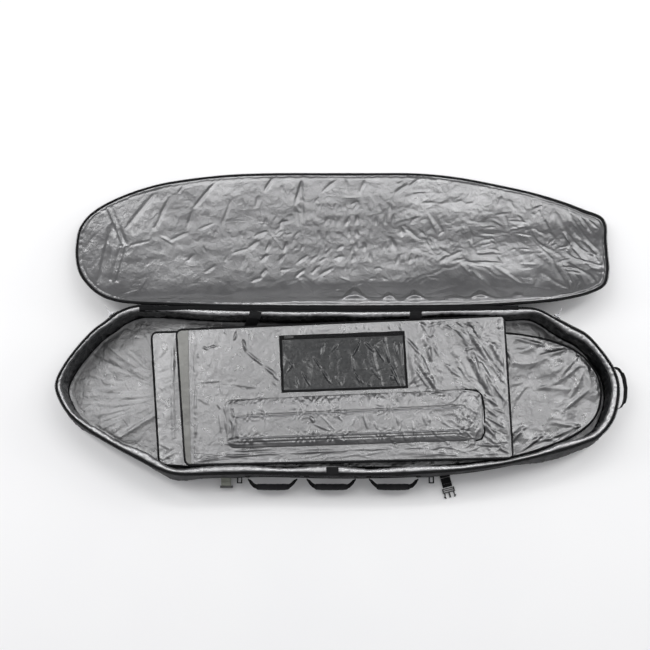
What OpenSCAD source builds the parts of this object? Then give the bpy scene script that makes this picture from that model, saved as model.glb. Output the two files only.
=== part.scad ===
// Padded travel bag for boards, opened flat: a deep tub, a full-length lid hinged
// along its back edge, two padded dividers and the webbing that carries it.
// Units are millimetres. The nose is at -X, the hinge side at +Y, up is +Z.
// The origin is the middle of the tub's underside.

/* [Tub] */
// Height of the tub's wall, floor to rim
rim_h = 170; // [150:1:200]
// Thickness of the wall's foam
wall_foam = 6.8; // [5:0.1:9]
// Thickness of the floor's foam
floor_foam = 10; // [6:0.5:11]

/* [Lid] */
// How far the lid domes between its edges
lid_sag = 38; // [10:1:40]
// Thickness of the lid's foam
lid_foam_t = 7; // [5:0.5:9]
// How far the lid is turned back from closed, in degrees
lid_open = 194.8; // [160:0.1:194.9]

/* [Dividers] */
// Height of the lower divider's underside above the floor
low_z = 72; // [50:1:74]
// Height of the upper divider's underside above the floor
up_z = 138; // [120:1:140]
// Thickness of a divider's foam
div_foam = 10; // [6:0.5:10]
// Height of the raised storage pocket on the upper divider
box_h = 14; // [6:1:16]

/* [Webbing] */
// Width of the compression straps
web_w = 38; // [25:1:40]
// Depth of the carry loops, wall to grip centre
loop_d = 36; // [30:1:40]
// Radius of the padded grips
grip_r = 11.5; // [9:0.5:12]

/* [Hidden] */
$fn = 48;

black = [0.05, 0.05, 0.055];
dark = [0.16, 0.17, 0.18];
silver = [0.62, 0.63, 0.64];
foam_c = [0.8, 0.8, 0.78];
metal = [0.35, 0.35, 0.36];

skin = 1.2;      // outer fabric
lining = 0.8;    // reflective inner fabric
gap = 0.1;       // between layers that lie on each other
hinge_y = 325;   // the lid's hinge line
hinge_z = 173;
floor_z = 1.5;   // top of the floor's outer skin
wall_t = skin + gap + wall_foam + gap + lining;

// ---- outlines -------------------------------------------------------------

// The rim seen from above, from the nose tip along the front, round the tail and back.
rim_ctl = [
    [-1078, 28], [-1064, -25], [-1022, -88], [-950, -146], [-850, -206], [-755, -256],
    [-675, -295], [-595, -316], [-450, -314], [-260, -311], [-60, -316], [130, -316],
    [320, -310], [500, -296], [660, -270], [810, -234], [918, -202], [992, -168],
    [1048, -98], [1072, 5], [1058, 82], [1015, 155], [960, 220], [900, 255], [840, 288],
    [775, 322], [700, 330], [560, 325], [400, 321], [150, 318], [-150, 318], [-400, 322],
    [-560, 329], [-700, 336], [-785, 336], [-850, 312], [-900, 272], [-950, 232],
    [-1012, 158], [-1058, 86]
];

// The lid's edge as it lies when closed, in the same order.
lid_ctl = [
    [-1043, 20], [-1036, -42], [-1004, -101], [-945, -153], [-850, -206], [-745, -246],
    [-655, -267], [-550, -284], [-420, -298], [-250, -304], [-60, -304], [130, -304],
    [320, -303], [480, -286], [640, -251], [800, -208], [920, -164], [1005, -124],
    [1066, -94], [1084, -52], [1077, 14], [1073, 88], [1068, 160], [1045, 222],
    [975, 260], [870, 286], [775, 298], [700, 304], [560, 313], [400, 317], [150, 319],
    [-150, 319], [-400, 317], [-560, 312], [-700, 306], [-785, 302], [-865, 291],
    [-930, 264], [-980, 220], [-1018, 165], [-1038, 95]
];

function wrap(i, n) = (i % n + n) % n;
function cr(a, b, c, d, t) =
    0.5 * (2 * b + (c - a) * t + (2 * a - 5 * b + 4 * c - d) * t * t
        + (3 * b - a - 3 * c + d) * t * t * t);
function closed_curve(P, k) = let (n = len(P)) [
    for (i = [0:n - 1], j = [0:k - 1])
        cr(P[wrap(i - 1, n)], P[i], P[wrap(i + 1, n)], P[wrap(i + 2, n)], j / k)
];
function unit(v) = v / norm(v);
function left_of(a, b) = let (d = unit(b - a)) [-d[1], d[0]];
// A closed outline moved inwards by d.
function inset(P, d) = let (n = len(P)) [
    for (i = [0:n - 1])
        let (n1 = left_of(P[wrap(i - 1, n)], P[i]), n2 = left_of(P[i], P[wrap(i + 1, n)]))
            P[i] + (n1 + n2) * d / (1 + n1 * n2)
];
function part_of(P, a, b) = let (n = len(P)) [for (i = [a:b]) P[wrap(i, n)]];
function reversed(P) = [for (i = [len(P) - 1:-1:0]) P[i]];
// A four-sided panel with rounded corners.
function rounded(P, r, k = 6) = let (n = len(P)) [
    for (i = [0:n - 1]) let (
        a = P[i] + unit(P[wrap(i - 1, n)] - P[i]) * r,
        c = P[i] + unit(P[wrap(i + 1, n)] - P[i]) * r
    ) for (j = [0:k]) let (t = j / k)
        a * (1 - t) * (1 - t) + 2 * P[i] * t * (1 - t) + c * t * t
];

RIM = closed_curve(rim_ctl, 3);
LID = closed_curve(lid_ctl, 2);
n_rim = len(RIM);
// the rim's points where the zip starts and ends: either end of the hinge line
zip_a = -3 * 5;          // nose end of the hinge
zip_b = 3 * 25;          // tail end of the hinge
front_a = 0;             // nose tip
front_b = 3 * 19;        // tail tip

module plate(P, z0, z1) { translate([0, 0, z0]) linear_extrude(z1 - z0) polygon(P); }
// A ring between two insets of an outline.
module ring(P, d0, d1, z0, z1) {
    translate([0, 0, z0]) linear_extrude(z1 - z0) difference() {
        polygon(inset(P, d0));
        polygon(inset(P, d1));
    }
}
// The stretch of such a ring between two of the outline's points.
module band(P, a, b, d0, d1, z0, z1) {
    A = part_of(inset(P, d0), a, b);
    B = part_of(inset(P, d1), a, b);
    translate([0, 0, z0]) linear_extrude(z1 - z0) polygon(concat(A, reversed(B)));
}

// ---- tub ------------------------------------------------------------------

floor_top = floor_z + floor_foam + 2 * gap + lining;

module floor_skin() { color(black) plate(RIM, 0, floor_z); }
module floor_foam_pad() {
    color(foam_c) plate(inset(RIM, wall_t + 0.3), floor_z + gap, floor_z + gap + floor_foam);
}
module floor_lining() {
    color(silver) plate(inset(RIM, wall_t + 0.3), floor_top - lining, floor_top);
}
wall_top = rim_h - 4.2;
module wall_layer(a, b, d0, d1) { band(RIM, a, b, d0, d1, floor_z + gap, wall_top); }
d_foam = skin + gap;
d_lin = d_foam + wall_foam + gap;
module gusset_front_skin() { color(black) wall_layer(front_a, front_b, 0, skin); }
module gusset_back_skin() { color(black) wall_layer(front_b, n_rim, 0, skin); }
module gusset_front_foam() { color(foam_c) wall_layer(front_a, front_b, d_foam, d_foam + wall_foam); }
module gusset_back_foam() { color(foam_c) wall_layer(front_b, n_rim, d_foam, d_foam + wall_foam); }
module gusset_front_lining() { color(silver) wall_layer(front_a, front_b, d_lin, d_lin + lining); }
module gusset_back_lining() { color(silver) wall_layer(front_b, n_rim, d_lin, d_lin + lining); }
module rim_binding() { color(black) ring(RIM, 0, wall_t, rim_h - 4, rim_h); }
module tub_zip_tape() { color(black) band(RIM, zip_a, zip_b, -1.6, -0.1, rim_h - 18, rim_h - 0.5); }
module tub_zip_coil() { color(black) band(RIM, zip_a, zip_b, -4.6, -1.7, rim_h - 6, rim_h - 0.2); }

// ---- carry webbing --------------------------------------------------------

loop_z = 95;       // height of the carry loops
web_t = 2.4;
loop_axis_y = -327;
droop = 40;        // how far a loop hangs below level
handle_x = [-250, -26, 212];

// The webbing is sewn flat along the front wall and stands off it in three loops.
module handle_webbing_run() {
    color(black) {
        band(RIM, 3 * 7 + 1, 3 * 12 + 1, -2.3, -0.1, loop_z - 14, loop_z + 14);
        // bar-tacked roots on which the loops turn
        for (c = handle_x, s = [-1, 1])
            translate([c + s * 95 - 9, -322.4, loop_z - 3.5]) cube([18, 4.5, 7]);
    }
}
// Centreline of a loop in its own plane: x along the wall, y out from it.
module loop_2d(half, grip, d, t, root) {
    difference() {
        polygon([[-half, 0], [-grip, d], [grip, d], [half, 0], [half - 3, 0],
                 [grip - 1.2, d - t], [-grip + 1.2, d - t], [-half + 3, 0]]);
        translate([-half - 5, -1]) square([2 * half + 10, 1 + root]);
    }
}
module carry_loop(c) {
    color(black) translate([c, loop_axis_y, loop_z]) rotate([droop, 0, 0]) rotate([0, 0, 180]) {
        translate([0, 0, -14]) linear_extrude(28) loop_2d(95, 66, loop_d + web_t / 2, web_t, 14);
        // the folded roots, which pivot beside the wall
        translate([0, 0, -4]) linear_extrude(8) intersection() {
            loop_2d(95, 66, loop_d + web_t / 2, web_t, 0.6);
            translate([-100, 0]) square([200, 14.1]);
        }
    }
}
// Rolled foam grip closed round the webbing.
module grip_pad(c) {
    color(dark) translate([c, loop_axis_y, loop_z]) rotate([droop, 0, 0])
        translate([0, -loop_d, 0]) rotate([0, 90, 0]) difference() {
        rotate_extrude() polygon([[0, -64], [grip_r * 0.55, -64], [grip_r * 0.9, -58],
            [grip_r, -48], [grip_r, 48], [grip_r * 0.9, 58], [grip_r * 0.55, 64], [0, 64]]);
        translate([-14.3, -web_t / 2 - 0.2, -70]) cube([28.6, web_t + 0.4, 140]);
    }
}
module handle_left_loop() { carry_loop(handle_x[0]); }
module handle_middle_loop() { carry_loop(handle_x[1]); }
module handle_right_loop() { carry_loop(handle_x[2]); }
module handle_left_grip() { grip_pad(handle_x[0]); }
module handle_middle_grip() { grip_pad(handle_x[1]); }
module handle_right_grip() { grip_pad(handle_x[2]); }

// Loop at the tail for dragging the bag.
tail_axis = [1066, 20, 112];
module tail_handle_anchor() {
    color(black) for (y = [102, -62])
        difference() {
            translate([1020, y - 8, tail_axis[2] - 16]) cube([42.5, 16, 32]);
            plate(inset(RIM, -0.2), 0, rim_h);
        }
}
module tail_2d(root) {
    difference() {
        polygon([[0, -84], [16, -82], [32, -68], [43, -40], [47, 0], [43, 40], [32, 68],
                 [16, 82], [0, 84], [0, 80], [14, 78], [29, 65], [39.5, 38], [43.5, 0],
                 [39.5, -38], [29, -65], [14, -78], [0, -80]]);
        translate([-1, -100]) square([1 + root, 200]);
    }
}
module tail_handle_loop() {
    color(black) translate(tail_axis) {
        translate([0, 0, -15]) linear_extrude(30) tail_2d(14);
        translate([0, 0, -4]) linear_extrude(8) intersection() {
            tail_2d(0.6);
            translate([0, -100]) square([14.1, 200]);
        }
    }
}
module tail_handle_pad() {
    color(dark) translate(tail_axis + [0, 0, -17]) linear_extrude(34)
        polygon([[36.8, -58], [43.6, -40], [47.7, 0], [43.6, 40], [36.8, 58], [41.6, 60],
                 [49, 40], [53, 0], [49, -40], [41.6, -60]]);
}

// ---- ties, patches and loops ----------------------------------------------

// A strip of webbing hung from its top edge.
module slanted_tab(x0, x1, y0, z0, y1, z1, w) {
    // a strip from (x0, y0, z0) at its top to (x1, y1, z1) at its foot
    t = 1.6;
    polyhedron(
        points = [
            [x0 - w / 2, y0, z0], [x0 + w / 2, y0, z0], [x1 + w / 2, y1, z1], [x1 - w / 2, y1, z1],
            [x0 - w / 2, y0 - t, z0], [x0 + w / 2, y0 - t, z0], [x1 + w / 2, y1 - t, z1], [x1 - w / 2, y1 - t, z1]
        ],
        faces = [[0, 1, 2], [0, 2, 3], [4, 6, 5], [4, 7, 6], [0, 4, 5], [0, 5, 1],
                 [1, 5, 6], [1, 6, 2], [2, 6, 7], [2, 7, 3], [3, 7, 4], [3, 4, 0]]
    );
}
// Ties from the hinge side's rim to the lower divider, which swings on them.
module back_tie_tabs() {
    color(black) {
        slanted_tab(-318, -354, 307, 164, 258, 82, 46);
        slanted_tab(302, 292, 307, 164, 261, 84, 46);
    }
}
module front_tie_tab() { color(black) slanted_tab(-22, -22, -298, 164, -293, 112, 46); }
module maker_patch() {
    color(dark) translate([-42, -318.2, 128]) cube([70, 1.2, 14]);
}
module accessory_loops() {
    color(black) for (x = [-388, 352]) difference() {
        translate([x - 1, -340.2, 34]) cube([19, 36, 26]);
        translate([x + 2, -337.2, 30]) cube([13, 20, 34]);
        plate(inset(RIM, -0.15), 0, rim_h);
    }
}

// ---- lid ------------------------------------------------------------------

lid_rings = [1, 0.94, 0.82, 0.6, 0.3];
// The dome is fuller towards the hinge, at +y.
function dome(s, y) = lid_sag * (1 - s * s * s * s) * (1 + 0.6 * y / 318);
function ring_s(x, y) = min(1, max(abs(x) / 1085, abs(y) / 318));

// A domed layer between two heights over the closed rim.
module domed_layer(P, z0, z1) {
    n = len(P);
    m = len(lid_rings);
    pts = concat(
        [for (z = [z0, z1], s = lid_rings) for (p = P) [p[0] * s, p[1] * s, z + dome(s, p[1] * s)]],
        [[0, 0, z0 + dome(0, 0)], [0, 0, z1 + dome(0, 0)]]
    );
    c0 = 2 * m * n;
    function id(layer, r, i) = (layer * m + r) * n + i % n;
    faces = concat(
        [for (r = [0:m - 2], i = [0:n - 1]) [id(0, r, i), id(0, r + 1, i), id(0, r + 1, i + 1)]],
        [for (r = [0:m - 2], i = [0:n - 1]) [id(0, r, i), id(0, r + 1, i + 1), id(0, r, i + 1)]],
        [for (i = [0:n - 1]) [id(0, m - 1, i), c0, id(0, m - 1, i + 1)]],
        [for (r = [0:m - 2], i = [0:n - 1]) [id(1, r, i), id(1, r + 1, i + 1), id(1, r + 1, i)]],
        [for (r = [0:m - 2], i = [0:n - 1]) [id(1, r, i), id(1, r, i + 1), id(1, r + 1, i + 1)]],
        [for (i = [0:n - 1]) [id(1, m - 1, i), id(1, m - 1, i + 1), c0 + 1]],
        [for (i = [0:n - 1]) [id(0, 0, i), id(0, 0, i + 1), id(1, 0, i + 1)]],
        [for (i = [0:n - 1]) [id(0, 0, i), id(1, 0, i + 1), id(1, 0, i)]]
    );
    polyhedron(points = pts, faces = [for (f = faces) [f[0], f[2], f[1]]]);
}
// Turns a lid piece back from closed to open about the hinge line.
module opened() {
    translate([0, hinge_y, hinge_z]) rotate([-lid_open, 0, 0])
        translate([0, -hinge_y, -hinge_z]) children();
}
z_lin = hinge_z;                            // underside of the closed lid
z_foam = z_lin + lining + gap;
z_skin = z_foam + lid_foam_t + gap;
z_out = z_skin + skin;
LID_IN = inset(LID, 6.1);
module lid_lining() { color(silver) opened() domed_layer(LID_IN, z_lin, z_lin + lining); }
module lid_foam() { color(foam_c) opened() domed_layer(LID_IN, z_foam, z_foam + lid_foam_t); }
module lid_skin() { color(black) opened() domed_layer(LID_IN, z_skin, z_out); }
module lid_binding() { color(black) opened() ring(LID, 0, 6, z_lin - 1, z_out + 0.5); }
lid_zip_a = -2 * 6;
lid_zip_b = 2 * 26;
module lid_zip_tape() { color(black) opened() band(LID, lid_zip_a, lid_zip_b, -1.6, -0.1, z_lin - 0.8, z_out); }
module lid_zip_coil() { color(black) opened() band(LID, lid_zip_a, lid_zip_b, -4.6, -1.7, z_lin - 1.8, z_lin + 4); }
// Fabric strip along which the lid turns, sewn to the tub's back rim.
module hinge_tape() {
    color(black) band(RIM, 3 * 27, 3 * 33, -2.6, -0.1, rim_h - 30, rim_h - 0.5);
}

// Straps sewn over the lid's outer face; their sockets meet the tub's buckles.
strap_x = [-430, 430];
function strap_line(x, o) = [for (y = [240:-30:-30]) [y, z_out + 0.8 + o + dome(ring_s(x, y), y)]];
module lid_straps() {
    color(black) opened() for (x = strap_x)
        translate([x - web_w / 2, 0, 0]) rotate([90, 0, 90]) linear_extrude(web_w)
            polygon(concat(strap_line(x, 0), reversed(strap_line(x, 2))));
}
module female_buckles() {
    color(black) opened() for (x = strap_x)
        translate([x, -31, z_out + 2.6 + dome(0.4, -31)]) difference() {
            translate([-27, -50, 0]) cube([54, 50, 13]);
            translate([-22.5, -51, 3]) cube([45, 33, 7]);          // socket
            for (s = [-1, 1]) translate([s * 27 - 5, -38, 3]) cube([10, 16, 7]);  // side windows
            translate([-20, -9, -1]) cube([40, 5, 15]);            // webbing slot
        }
}

// ---- dividers -------------------------------------------------------------

low_ctl = [
    [-738, 248], [-690, -274], [-560, -284], [-300, -286], [0, -286], [300, -284],
    [520, -268], [676, -245], [829, -198], [940, -145], [1005, -80], [1028, 10],
    [1010, 90], [955, 160], [870, 205], [760, 234], [620, 249], [300, 256], [-100, 256],
    [-500, 254]
];
// The lower divider: square at the nose end, rounded like the bag at the tail.
function low_outline() = let (C = closed_curve(low_ctl, 3), n = len(C))
    concat(
        [for (j = [0:6]) let (t = j / 6, a = [-708, 250], b = [-738, 248], c = [-735.5, 218])
            a * (1 - t) * (1 - t) + 2 * b * t * (1 - t) + c * t * t],
        [for (j = [0:6]) let (t = j / 6, a = [-692.5, -246], b = [-690, -274], c = [-660, -276])
            a * (1 - t) * (1 - t) + 2 * b * t * (1 - t) + c * t * t],
        [for (i = [2 * 3:n - 3]) C[i]]
    );
LOWP = low_outline();
module lower_divider_foam() {
    color(foam_c) plate(inset(LOWP, 7.5), low_z + 1, low_z + 1 + div_foam);
}
module lower_divider_cover() {
    color(silver) {
        plate(inset(LOWP, 6.2), low_z, low_z + 0.9);
        plate(inset(LOWP, 6.2), low_z + 1.1 + div_foam, low_z + 2 + div_foam);
    }
}
module lower_divider_binding() { color(black) ring(LOWP, 0, 6, low_z - 1, low_z + 3 + div_foam); }

// The upper divider has its own frame: x along its back edge, y away from it.
div_o = [6, 269];
div_a = 2.06;
module at_divider() { translate([div_o[0], div_o[1], 0]) rotate([0, 0, div_a]) children(); }
UPP = rounded([[-638, 0], [-607, -530], [639, -548], [645, 11]], 30, 6);
up_top = up_z + div_foam + 2;
module upper_divider_foam() {
    color(foam_c) at_divider() plate(inset(UPP, 7.5), up_z + 1, up_z + 1 + div_foam);
}
module upper_divider_cover() {
    color(silver) at_divider() {
        plate(inset(UPP, 6.2), up_z, up_z + 0.9);
        plate(inset(UPP, 6.2), up_z + 1.1 + div_foam, up_top);
    }
}
module upper_divider_binding() { color(black) at_divider() ring(UPP, 0, 6, up_z - 0.8, up_top + 0.9); }
// Full-width pocket sewn on the divider, open along its hem at the nose end.
module pocket_panel() {
    color(silver) at_divider() difference() {
        union() {
            translate([-588, -538, up_top + gap]) cube([1230, 546, 0.9]);
            translate([-588, -538, up_top + gap]) cube([12, 546, 2.4]);
        }
        difference() {
            translate([-700, -700, 0]) cube([1400, 800, 300]);
            plate(inset(UPP, 7), 0, 290);
        }
    }
}
module divider_tie_tab() {
    color(black) at_divider() translate([-50, -557.5, up_z + 4]) cube([46, 14, 1.8]);
}
pan_top = up_top + gap + 0.9;
win = [-232, -264, 485, 224];   // corner and size of the window pocket
module window_frame() {
    color(black) at_divider() translate([win[0], win[1], pan_top + gap]) difference() {
        cube([win[2], win[3], 2]);
        translate([9, 9, -1]) cube([win[2] - 18, win[3] - 27, 4]);
        translate([14, win[3] - 13, 0.8]) cube([win[2] - 28, 8, 4]);
    }
}
module window_film() {
    color([0.3, 0.3, 0.31]) at_divider()
        translate([win[0] + 9.1, win[1] + 9.1, pan_top + gap]) cube([win[2] - 18.2, win[3] - 27.2, 0.9]);
}
// Coil zip along the back edge of the window pocket.
module window_zip() {
    color(black) at_divider()
        translate([win[0] + 16, win[1] + win[3] - 12, pan_top + gap + 0.9]) cube([win[2] - 32, 6, 1.9]);
}
wz = [win[0] + 24, win[1] + win[3] - 9, pan_top + gap + 3.2];
module window_zip_slider() {
    color(metal) at_divider() translate(wz) {
        translate([-7, -5, 0]) cube([14, 10, 2.2]);
        difference() {
            translate([-5, -2.5, 2.1]) cube([10, 5, 4.2]);
            translate([-3.2, -3, 2.6]) cube([6.4, 6, 2.3]);
        }
    }
}
module window_zip_pull() {
    color(metal) at_divider() translate(wz + [0, 0, 3.7]) {
        rotate([90, 0, 0]) translate([0, 0, -4.9]) cylinder(h = 9.8, r = 0.8);
        for (y = [-4.9, 3]) translate([-0.8, y, -0.7]) cube([7.2, 1.9, 1.4]);
        translate([6.3, -4.9, -0.7]) cube([22, 9.8, 1.4]);
    }
}
// Raised storage pocket: a low box with sloping sides and a flap on top.
BOX = rounded([[-452, -284], [-442, -470], [528, -474], [536, -274]], 34, 6);
BOX_TOP = rounded([[-418, -350], [-412, -440], [458, -438], [466, -340]], 20, 6);
module storage_pocket() {
    color(silver) at_divider() {
        n = len(BOX);
        zb = pan_top + gap;
        polyhedron(
            points = concat([for (p = BOX) [p[0], p[1], zb]], [for (p = BOX_TOP) [p[0], p[1], zb + box_h]]),
            faces = concat(
                [[for (i = [0:n - 1]) i]],
                [[for (i = [n - 1:-1:0]) n + i]],
                [for (i = [0:n - 1]) [i, n + i, n + (i + 1) % n]],
                [for (i = [0:n - 1]) [i, n + (i + 1) % n, (i + 1) % n]]
            )
        );
    }
}
module storage_pocket_flap() {
    color(silver) at_divider() plate(rounded([[-406, -358], [-401, -432], [446, -430], [453, -349]], 14, 5),
        pan_top + gap + box_h + 0.1, pan_top + gap + box_h + 1.2);
}

// ---- compression straps on the tub ----------------------------------------

// Each strap is its root, its turn in plan and how far it hangs below level.
strap_l = [-431, -320.5, 62, 0, 30];
strap_r = [419, -317, 4.8, 14, 0];
web_l = [32, 36];               // length of webbing shown on each
module at_strap(s) { translate([s[0], s[1], s[2]]) rotate([0, 0, s[3]]) rotate([s[4], 0, 0]) children(); }
module strap_anchors() {
    color(black) difference() {
        for (s = [strap_l, strap_r]) translate([s[0], s[1], s[2]]) rotate([0, 0, s[3]])
            translate([-web_w / 2, 1.8, -1.8]) cube([web_w, 24, 14]);
        plate(inset(RIM, -0.15), -1, rim_h);
    }
}
module strap_webbing(s, l) {
    color(s[0] < 0 ? [0.62, 0.63, 0.58] : black) at_strap(s) {
        translate([-web_w / 2, -l, -1]) cube([web_w, l, 2]);
        translate([-web_w / 2, -l, 0.9]) cube([web_w, 16, 1.6]);
    }
}
// Plug half of a side-release buckle, hung on a bar by the end of the webbing.
module male_buckle(s, l, turn) {
    color(black) at_strap(s) translate([0, -l - 6, 0]) rotate([turn, 0, 0]) {
        difference() {
            translate([-24, -16, -4.4]) cube([48, 18, 8.8]);
            translate([-19.5, -5, -5]) cube([39, 4, 10]);
            translate([-19.5, -12, -5]) cube([39, 4, 10]);
        }
        translate([-3, -36, -2.2]) cube([6, 20.1, 4.4]);
        for (m = [0, 1]) mirror([m, 0, 0])
            translate([0, 0, -2.4]) linear_extrude(4.8)
                polygon([[15, -15.9], [21, -15.9], [20, -26], [24, -28], [23.5, -32], [18, -38],
                         [15.5, -36], [17, -28]]);
    }
}
module strap_left_webbing() { strap_webbing(strap_l, web_l[0]); }
module strap_right_webbing() { strap_webbing(strap_r, web_l[1]); }
module buckle_left() { male_buckle(strap_l, web_l[0], 60); }
module buckle_right() { male_buckle(strap_r, web_l[1], 0); }

// ---- zip sliders ----------------------------------------------------------

// Each slider is parked at one end of the hinge and runs along the coil's outer side.
zs_n = [-872, 294.5, 38.7];
zs_t = [846, 284.7, -28.8];
module at_zip(s) { translate([s[0], s[1], rim_h - 4.5]) rotate([0, 0, s[2]]) children(); }
module zip_slider(s) {
    color(metal) at_zip(s) {
        translate([-13, 8, -6.5]) cube([26, 3, 10]);
        difference() {
            translate([-7, 10.9, -2.5]) cube([14, 6.4, 3.6]);
            translate([-4, 11, -4]) cube([8, 3.8, 6]);
        }
    }
}
module zip_pull(s) {
    color(metal) at_zip(s) translate([0, 12.9, -0.7]) {
        translate([0, 0, -5]) cylinder(h = 10, r = 1);
        for (z = [-5, 3.2]) translate([-1, 0, z]) cube([2, 9.4, 1.8]);
        translate([-1, 9.2, -5]) cube([2, 26, 10]);
    }
}
module zip_slider_nose() { zip_slider(zs_n); }
module zip_slider_tail() { zip_slider(zs_t); }
module zip_pull_nose() { zip_pull(zs_n); }
module zip_pull_tail() { zip_pull(zs_t); }

floor_skin();
floor_foam_pad();
floor_lining();
gusset_front_skin();
gusset_back_skin();
gusset_front_foam();
gusset_back_foam();
gusset_front_lining();
gusset_back_lining();
rim_binding();
tub_zip_tape();
tub_zip_coil();
handle_webbing_run();
back_tie_tabs();
front_tie_tab();
maker_patch();
tail_handle_anchor();
strap_anchors();
accessory_loops();
lid_skin();
lid_foam();
lid_lining();
lid_binding();
lid_zip_tape();
lid_zip_coil();
hinge_tape();
lid_straps();
female_buckles();
lower_divider_foam();
lower_divider_cover();
lower_divider_binding();
upper_divider_foam();
upper_divider_cover();
upper_divider_binding();
pocket_panel();
divider_tie_tab();
window_frame();
window_film();
window_zip();
window_zip_slider();
window_zip_pull();
storage_pocket();
storage_pocket_flap();
handle_left_loop();
handle_left_grip();
handle_middle_loop();
handle_middle_grip();
handle_right_loop();
handle_right_grip();
tail_handle_loop();
tail_handle_pad();
strap_left_webbing();
buckle_left();
strap_right_webbing();
buckle_right();
zip_slider_nose();
zip_pull_nose();
zip_slider_tail();
zip_pull_tail();
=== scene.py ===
import math

import bpy
import numpy as np
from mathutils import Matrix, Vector


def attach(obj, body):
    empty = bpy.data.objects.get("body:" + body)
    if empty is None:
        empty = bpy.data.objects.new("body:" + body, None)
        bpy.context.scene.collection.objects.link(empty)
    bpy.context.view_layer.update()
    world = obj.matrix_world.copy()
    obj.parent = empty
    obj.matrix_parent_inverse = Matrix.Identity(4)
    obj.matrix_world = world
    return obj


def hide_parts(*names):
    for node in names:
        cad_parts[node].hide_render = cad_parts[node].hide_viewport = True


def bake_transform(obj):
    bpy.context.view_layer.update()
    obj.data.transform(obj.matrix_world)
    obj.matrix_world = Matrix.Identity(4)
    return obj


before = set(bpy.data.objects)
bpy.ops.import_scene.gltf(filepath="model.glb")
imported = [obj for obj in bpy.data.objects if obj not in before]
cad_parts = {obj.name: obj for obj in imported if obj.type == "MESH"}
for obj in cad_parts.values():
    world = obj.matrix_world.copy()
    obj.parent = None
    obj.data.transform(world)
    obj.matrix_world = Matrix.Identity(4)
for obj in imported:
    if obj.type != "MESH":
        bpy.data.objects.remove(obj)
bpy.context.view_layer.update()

MM = 0.001
rng = np.random.default_rng(11)

# ---------------------------------------------------------------- outlines

RIM_CTL = [[-1078, 28], [-1064, -25], [-1022, -88], [-950, -146], [-850, -206], [-755, -256],
           [-675, -295], [-595, -316], [-450, -314], [-260, -311], [-60, -316], [130, -316],
           [320, -310], [500, -296], [660, -270], [810, -234], [918, -202], [992, -168],
           [1048, -98], [1072, 5], [1058, 82], [1015, 155], [960, 220], [900, 255], [840, 288],
           [775, 322], [700, 330], [560, 325], [400, 321], [150, 318], [-150, 318], [-400, 322],
           [-560, 329], [-700, 336], [-785, 336], [-850, 312], [-900, 272], [-950, 232],
           [-1012, 158], [-1058, 86]]
LID_CTL = [[-1043, 20], [-1036, -42], [-1004, -101], [-945, -153], [-850, -206], [-745, -246],
           [-655, -267], [-550, -284], [-420, -298], [-250, -304], [-60, -304], [130, -304],
           [320, -303], [480, -286], [640, -251], [800, -208], [920, -164], [1005, -124],
           [1066, -94], [1084, -52], [1077, 14], [1073, 88], [1068, 160], [1045, 222],
           [975, 260], [870, 286], [775, 298], [700, 304], [560, 313], [400, 317], [150, 319],
           [-150, 319], [-400, 317], [-560, 312], [-700, 306], [-785, 302], [-865, 291],
           [-930, 264], [-980, 220], [-1018, 165], [-1038, 95]]
LOW_CTL = [[-738, 248], [-690, -274], [-560, -284], [-300, -286], [0, -286], [300, -284],
           [520, -268], [676, -245], [829, -198], [940, -145], [1005, -80], [1028, 10],
           [1010, 90], [955, 160], [870, 205], [760, 234], [620, 249], [300, 256], [-100, 256],
           [-500, 254]]


def cr_closed(P, k):
    P = np.array(P, float)
    a, b, c, d = np.roll(P, 1, 0), P, np.roll(P, -1, 0), np.roll(P, -2, 0)
    out = []
    for j in range(k):
        t = j / k
        out.append(0.5 * (2 * b + (c - a) * t + (2 * a - 5 * b + 4 * c - d) * t * t + (3 * b - a - 3 * c + d) * t ** 3))
    return np.stack(out, 1).reshape(-1, 2)


def resample(P, n, closed=True):
    P = np.array(P, float)
    Q = np.vstack([P, P[:1]]) if closed else P
    L = np.r_[0, np.cumsum(np.linalg.norm(np.diff(Q, axis=0), axis=1))]
    t = np.linspace(0, L[-1], n + 1)[:-1] if closed else np.linspace(0, L[-1], n)
    return np.stack([np.interp(t, L, Q[:, k]) for k in range(Q.shape[1])], 1)


def smooth_closed(P, it=2):
    for _ in range(it):
        P = 0.5 * P + 0.25 * (np.roll(P, 1, 0) + np.roll(P, -1, 0))
    return P


def tangents(P, closed=True):
    T = np.roll(P, -1, 0) - np.roll(P, 1, 0)
    if not closed:
        T[0], T[-1] = P[1] - P[0], P[-1] - P[-2]
    return T / np.maximum(np.linalg.norm(T, axis=1, keepdims=True), 1e-9)


def inward(P):
    T = tangents(P)
    return np.stack([-T[:, 1], T[:, 0]], 1)


def inward_open(P):
    T = tangents(P, False)
    return np.stack([-T[:, 1], T[:, 0]], 1)


def rounded(P, r, k=8):
    P = np.array(P, float)
    out = []
    for i in range(len(P)):
        a = P[i] + (P[i - 1] - P[i]) / np.linalg.norm(P[i - 1] - P[i]) * r
        c = P[i] + (P[(i + 1) % len(P)] - P[i]) / np.linalg.norm(P[(i + 1) % len(P)] - P[i]) * r
        for j in range(k + 1):
            t = j / k
            out.append(a * (1 - t) ** 2 + 2 * P[i] * t * (1 - t) + c * t * t)
    return np.array(out)


# ---------------------------------------------------------------- noise

def waves(x, y, size, seed, n=10):
    """Smooth random field of about unit height, features of about that size."""
    g = np.random.default_rng(seed)
    out = np.zeros_like(x, float)
    for _ in range(n):
        a = g.uniform(0, math.pi * 2)
        w = 2 * math.pi / (size * g.uniform(1.3, 3.2))
        out = out + np.sin((x * math.cos(a) + y * math.sin(a)) * w + g.uniform(0, 6.28))
    return out / math.sqrt(n / 2)


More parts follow.
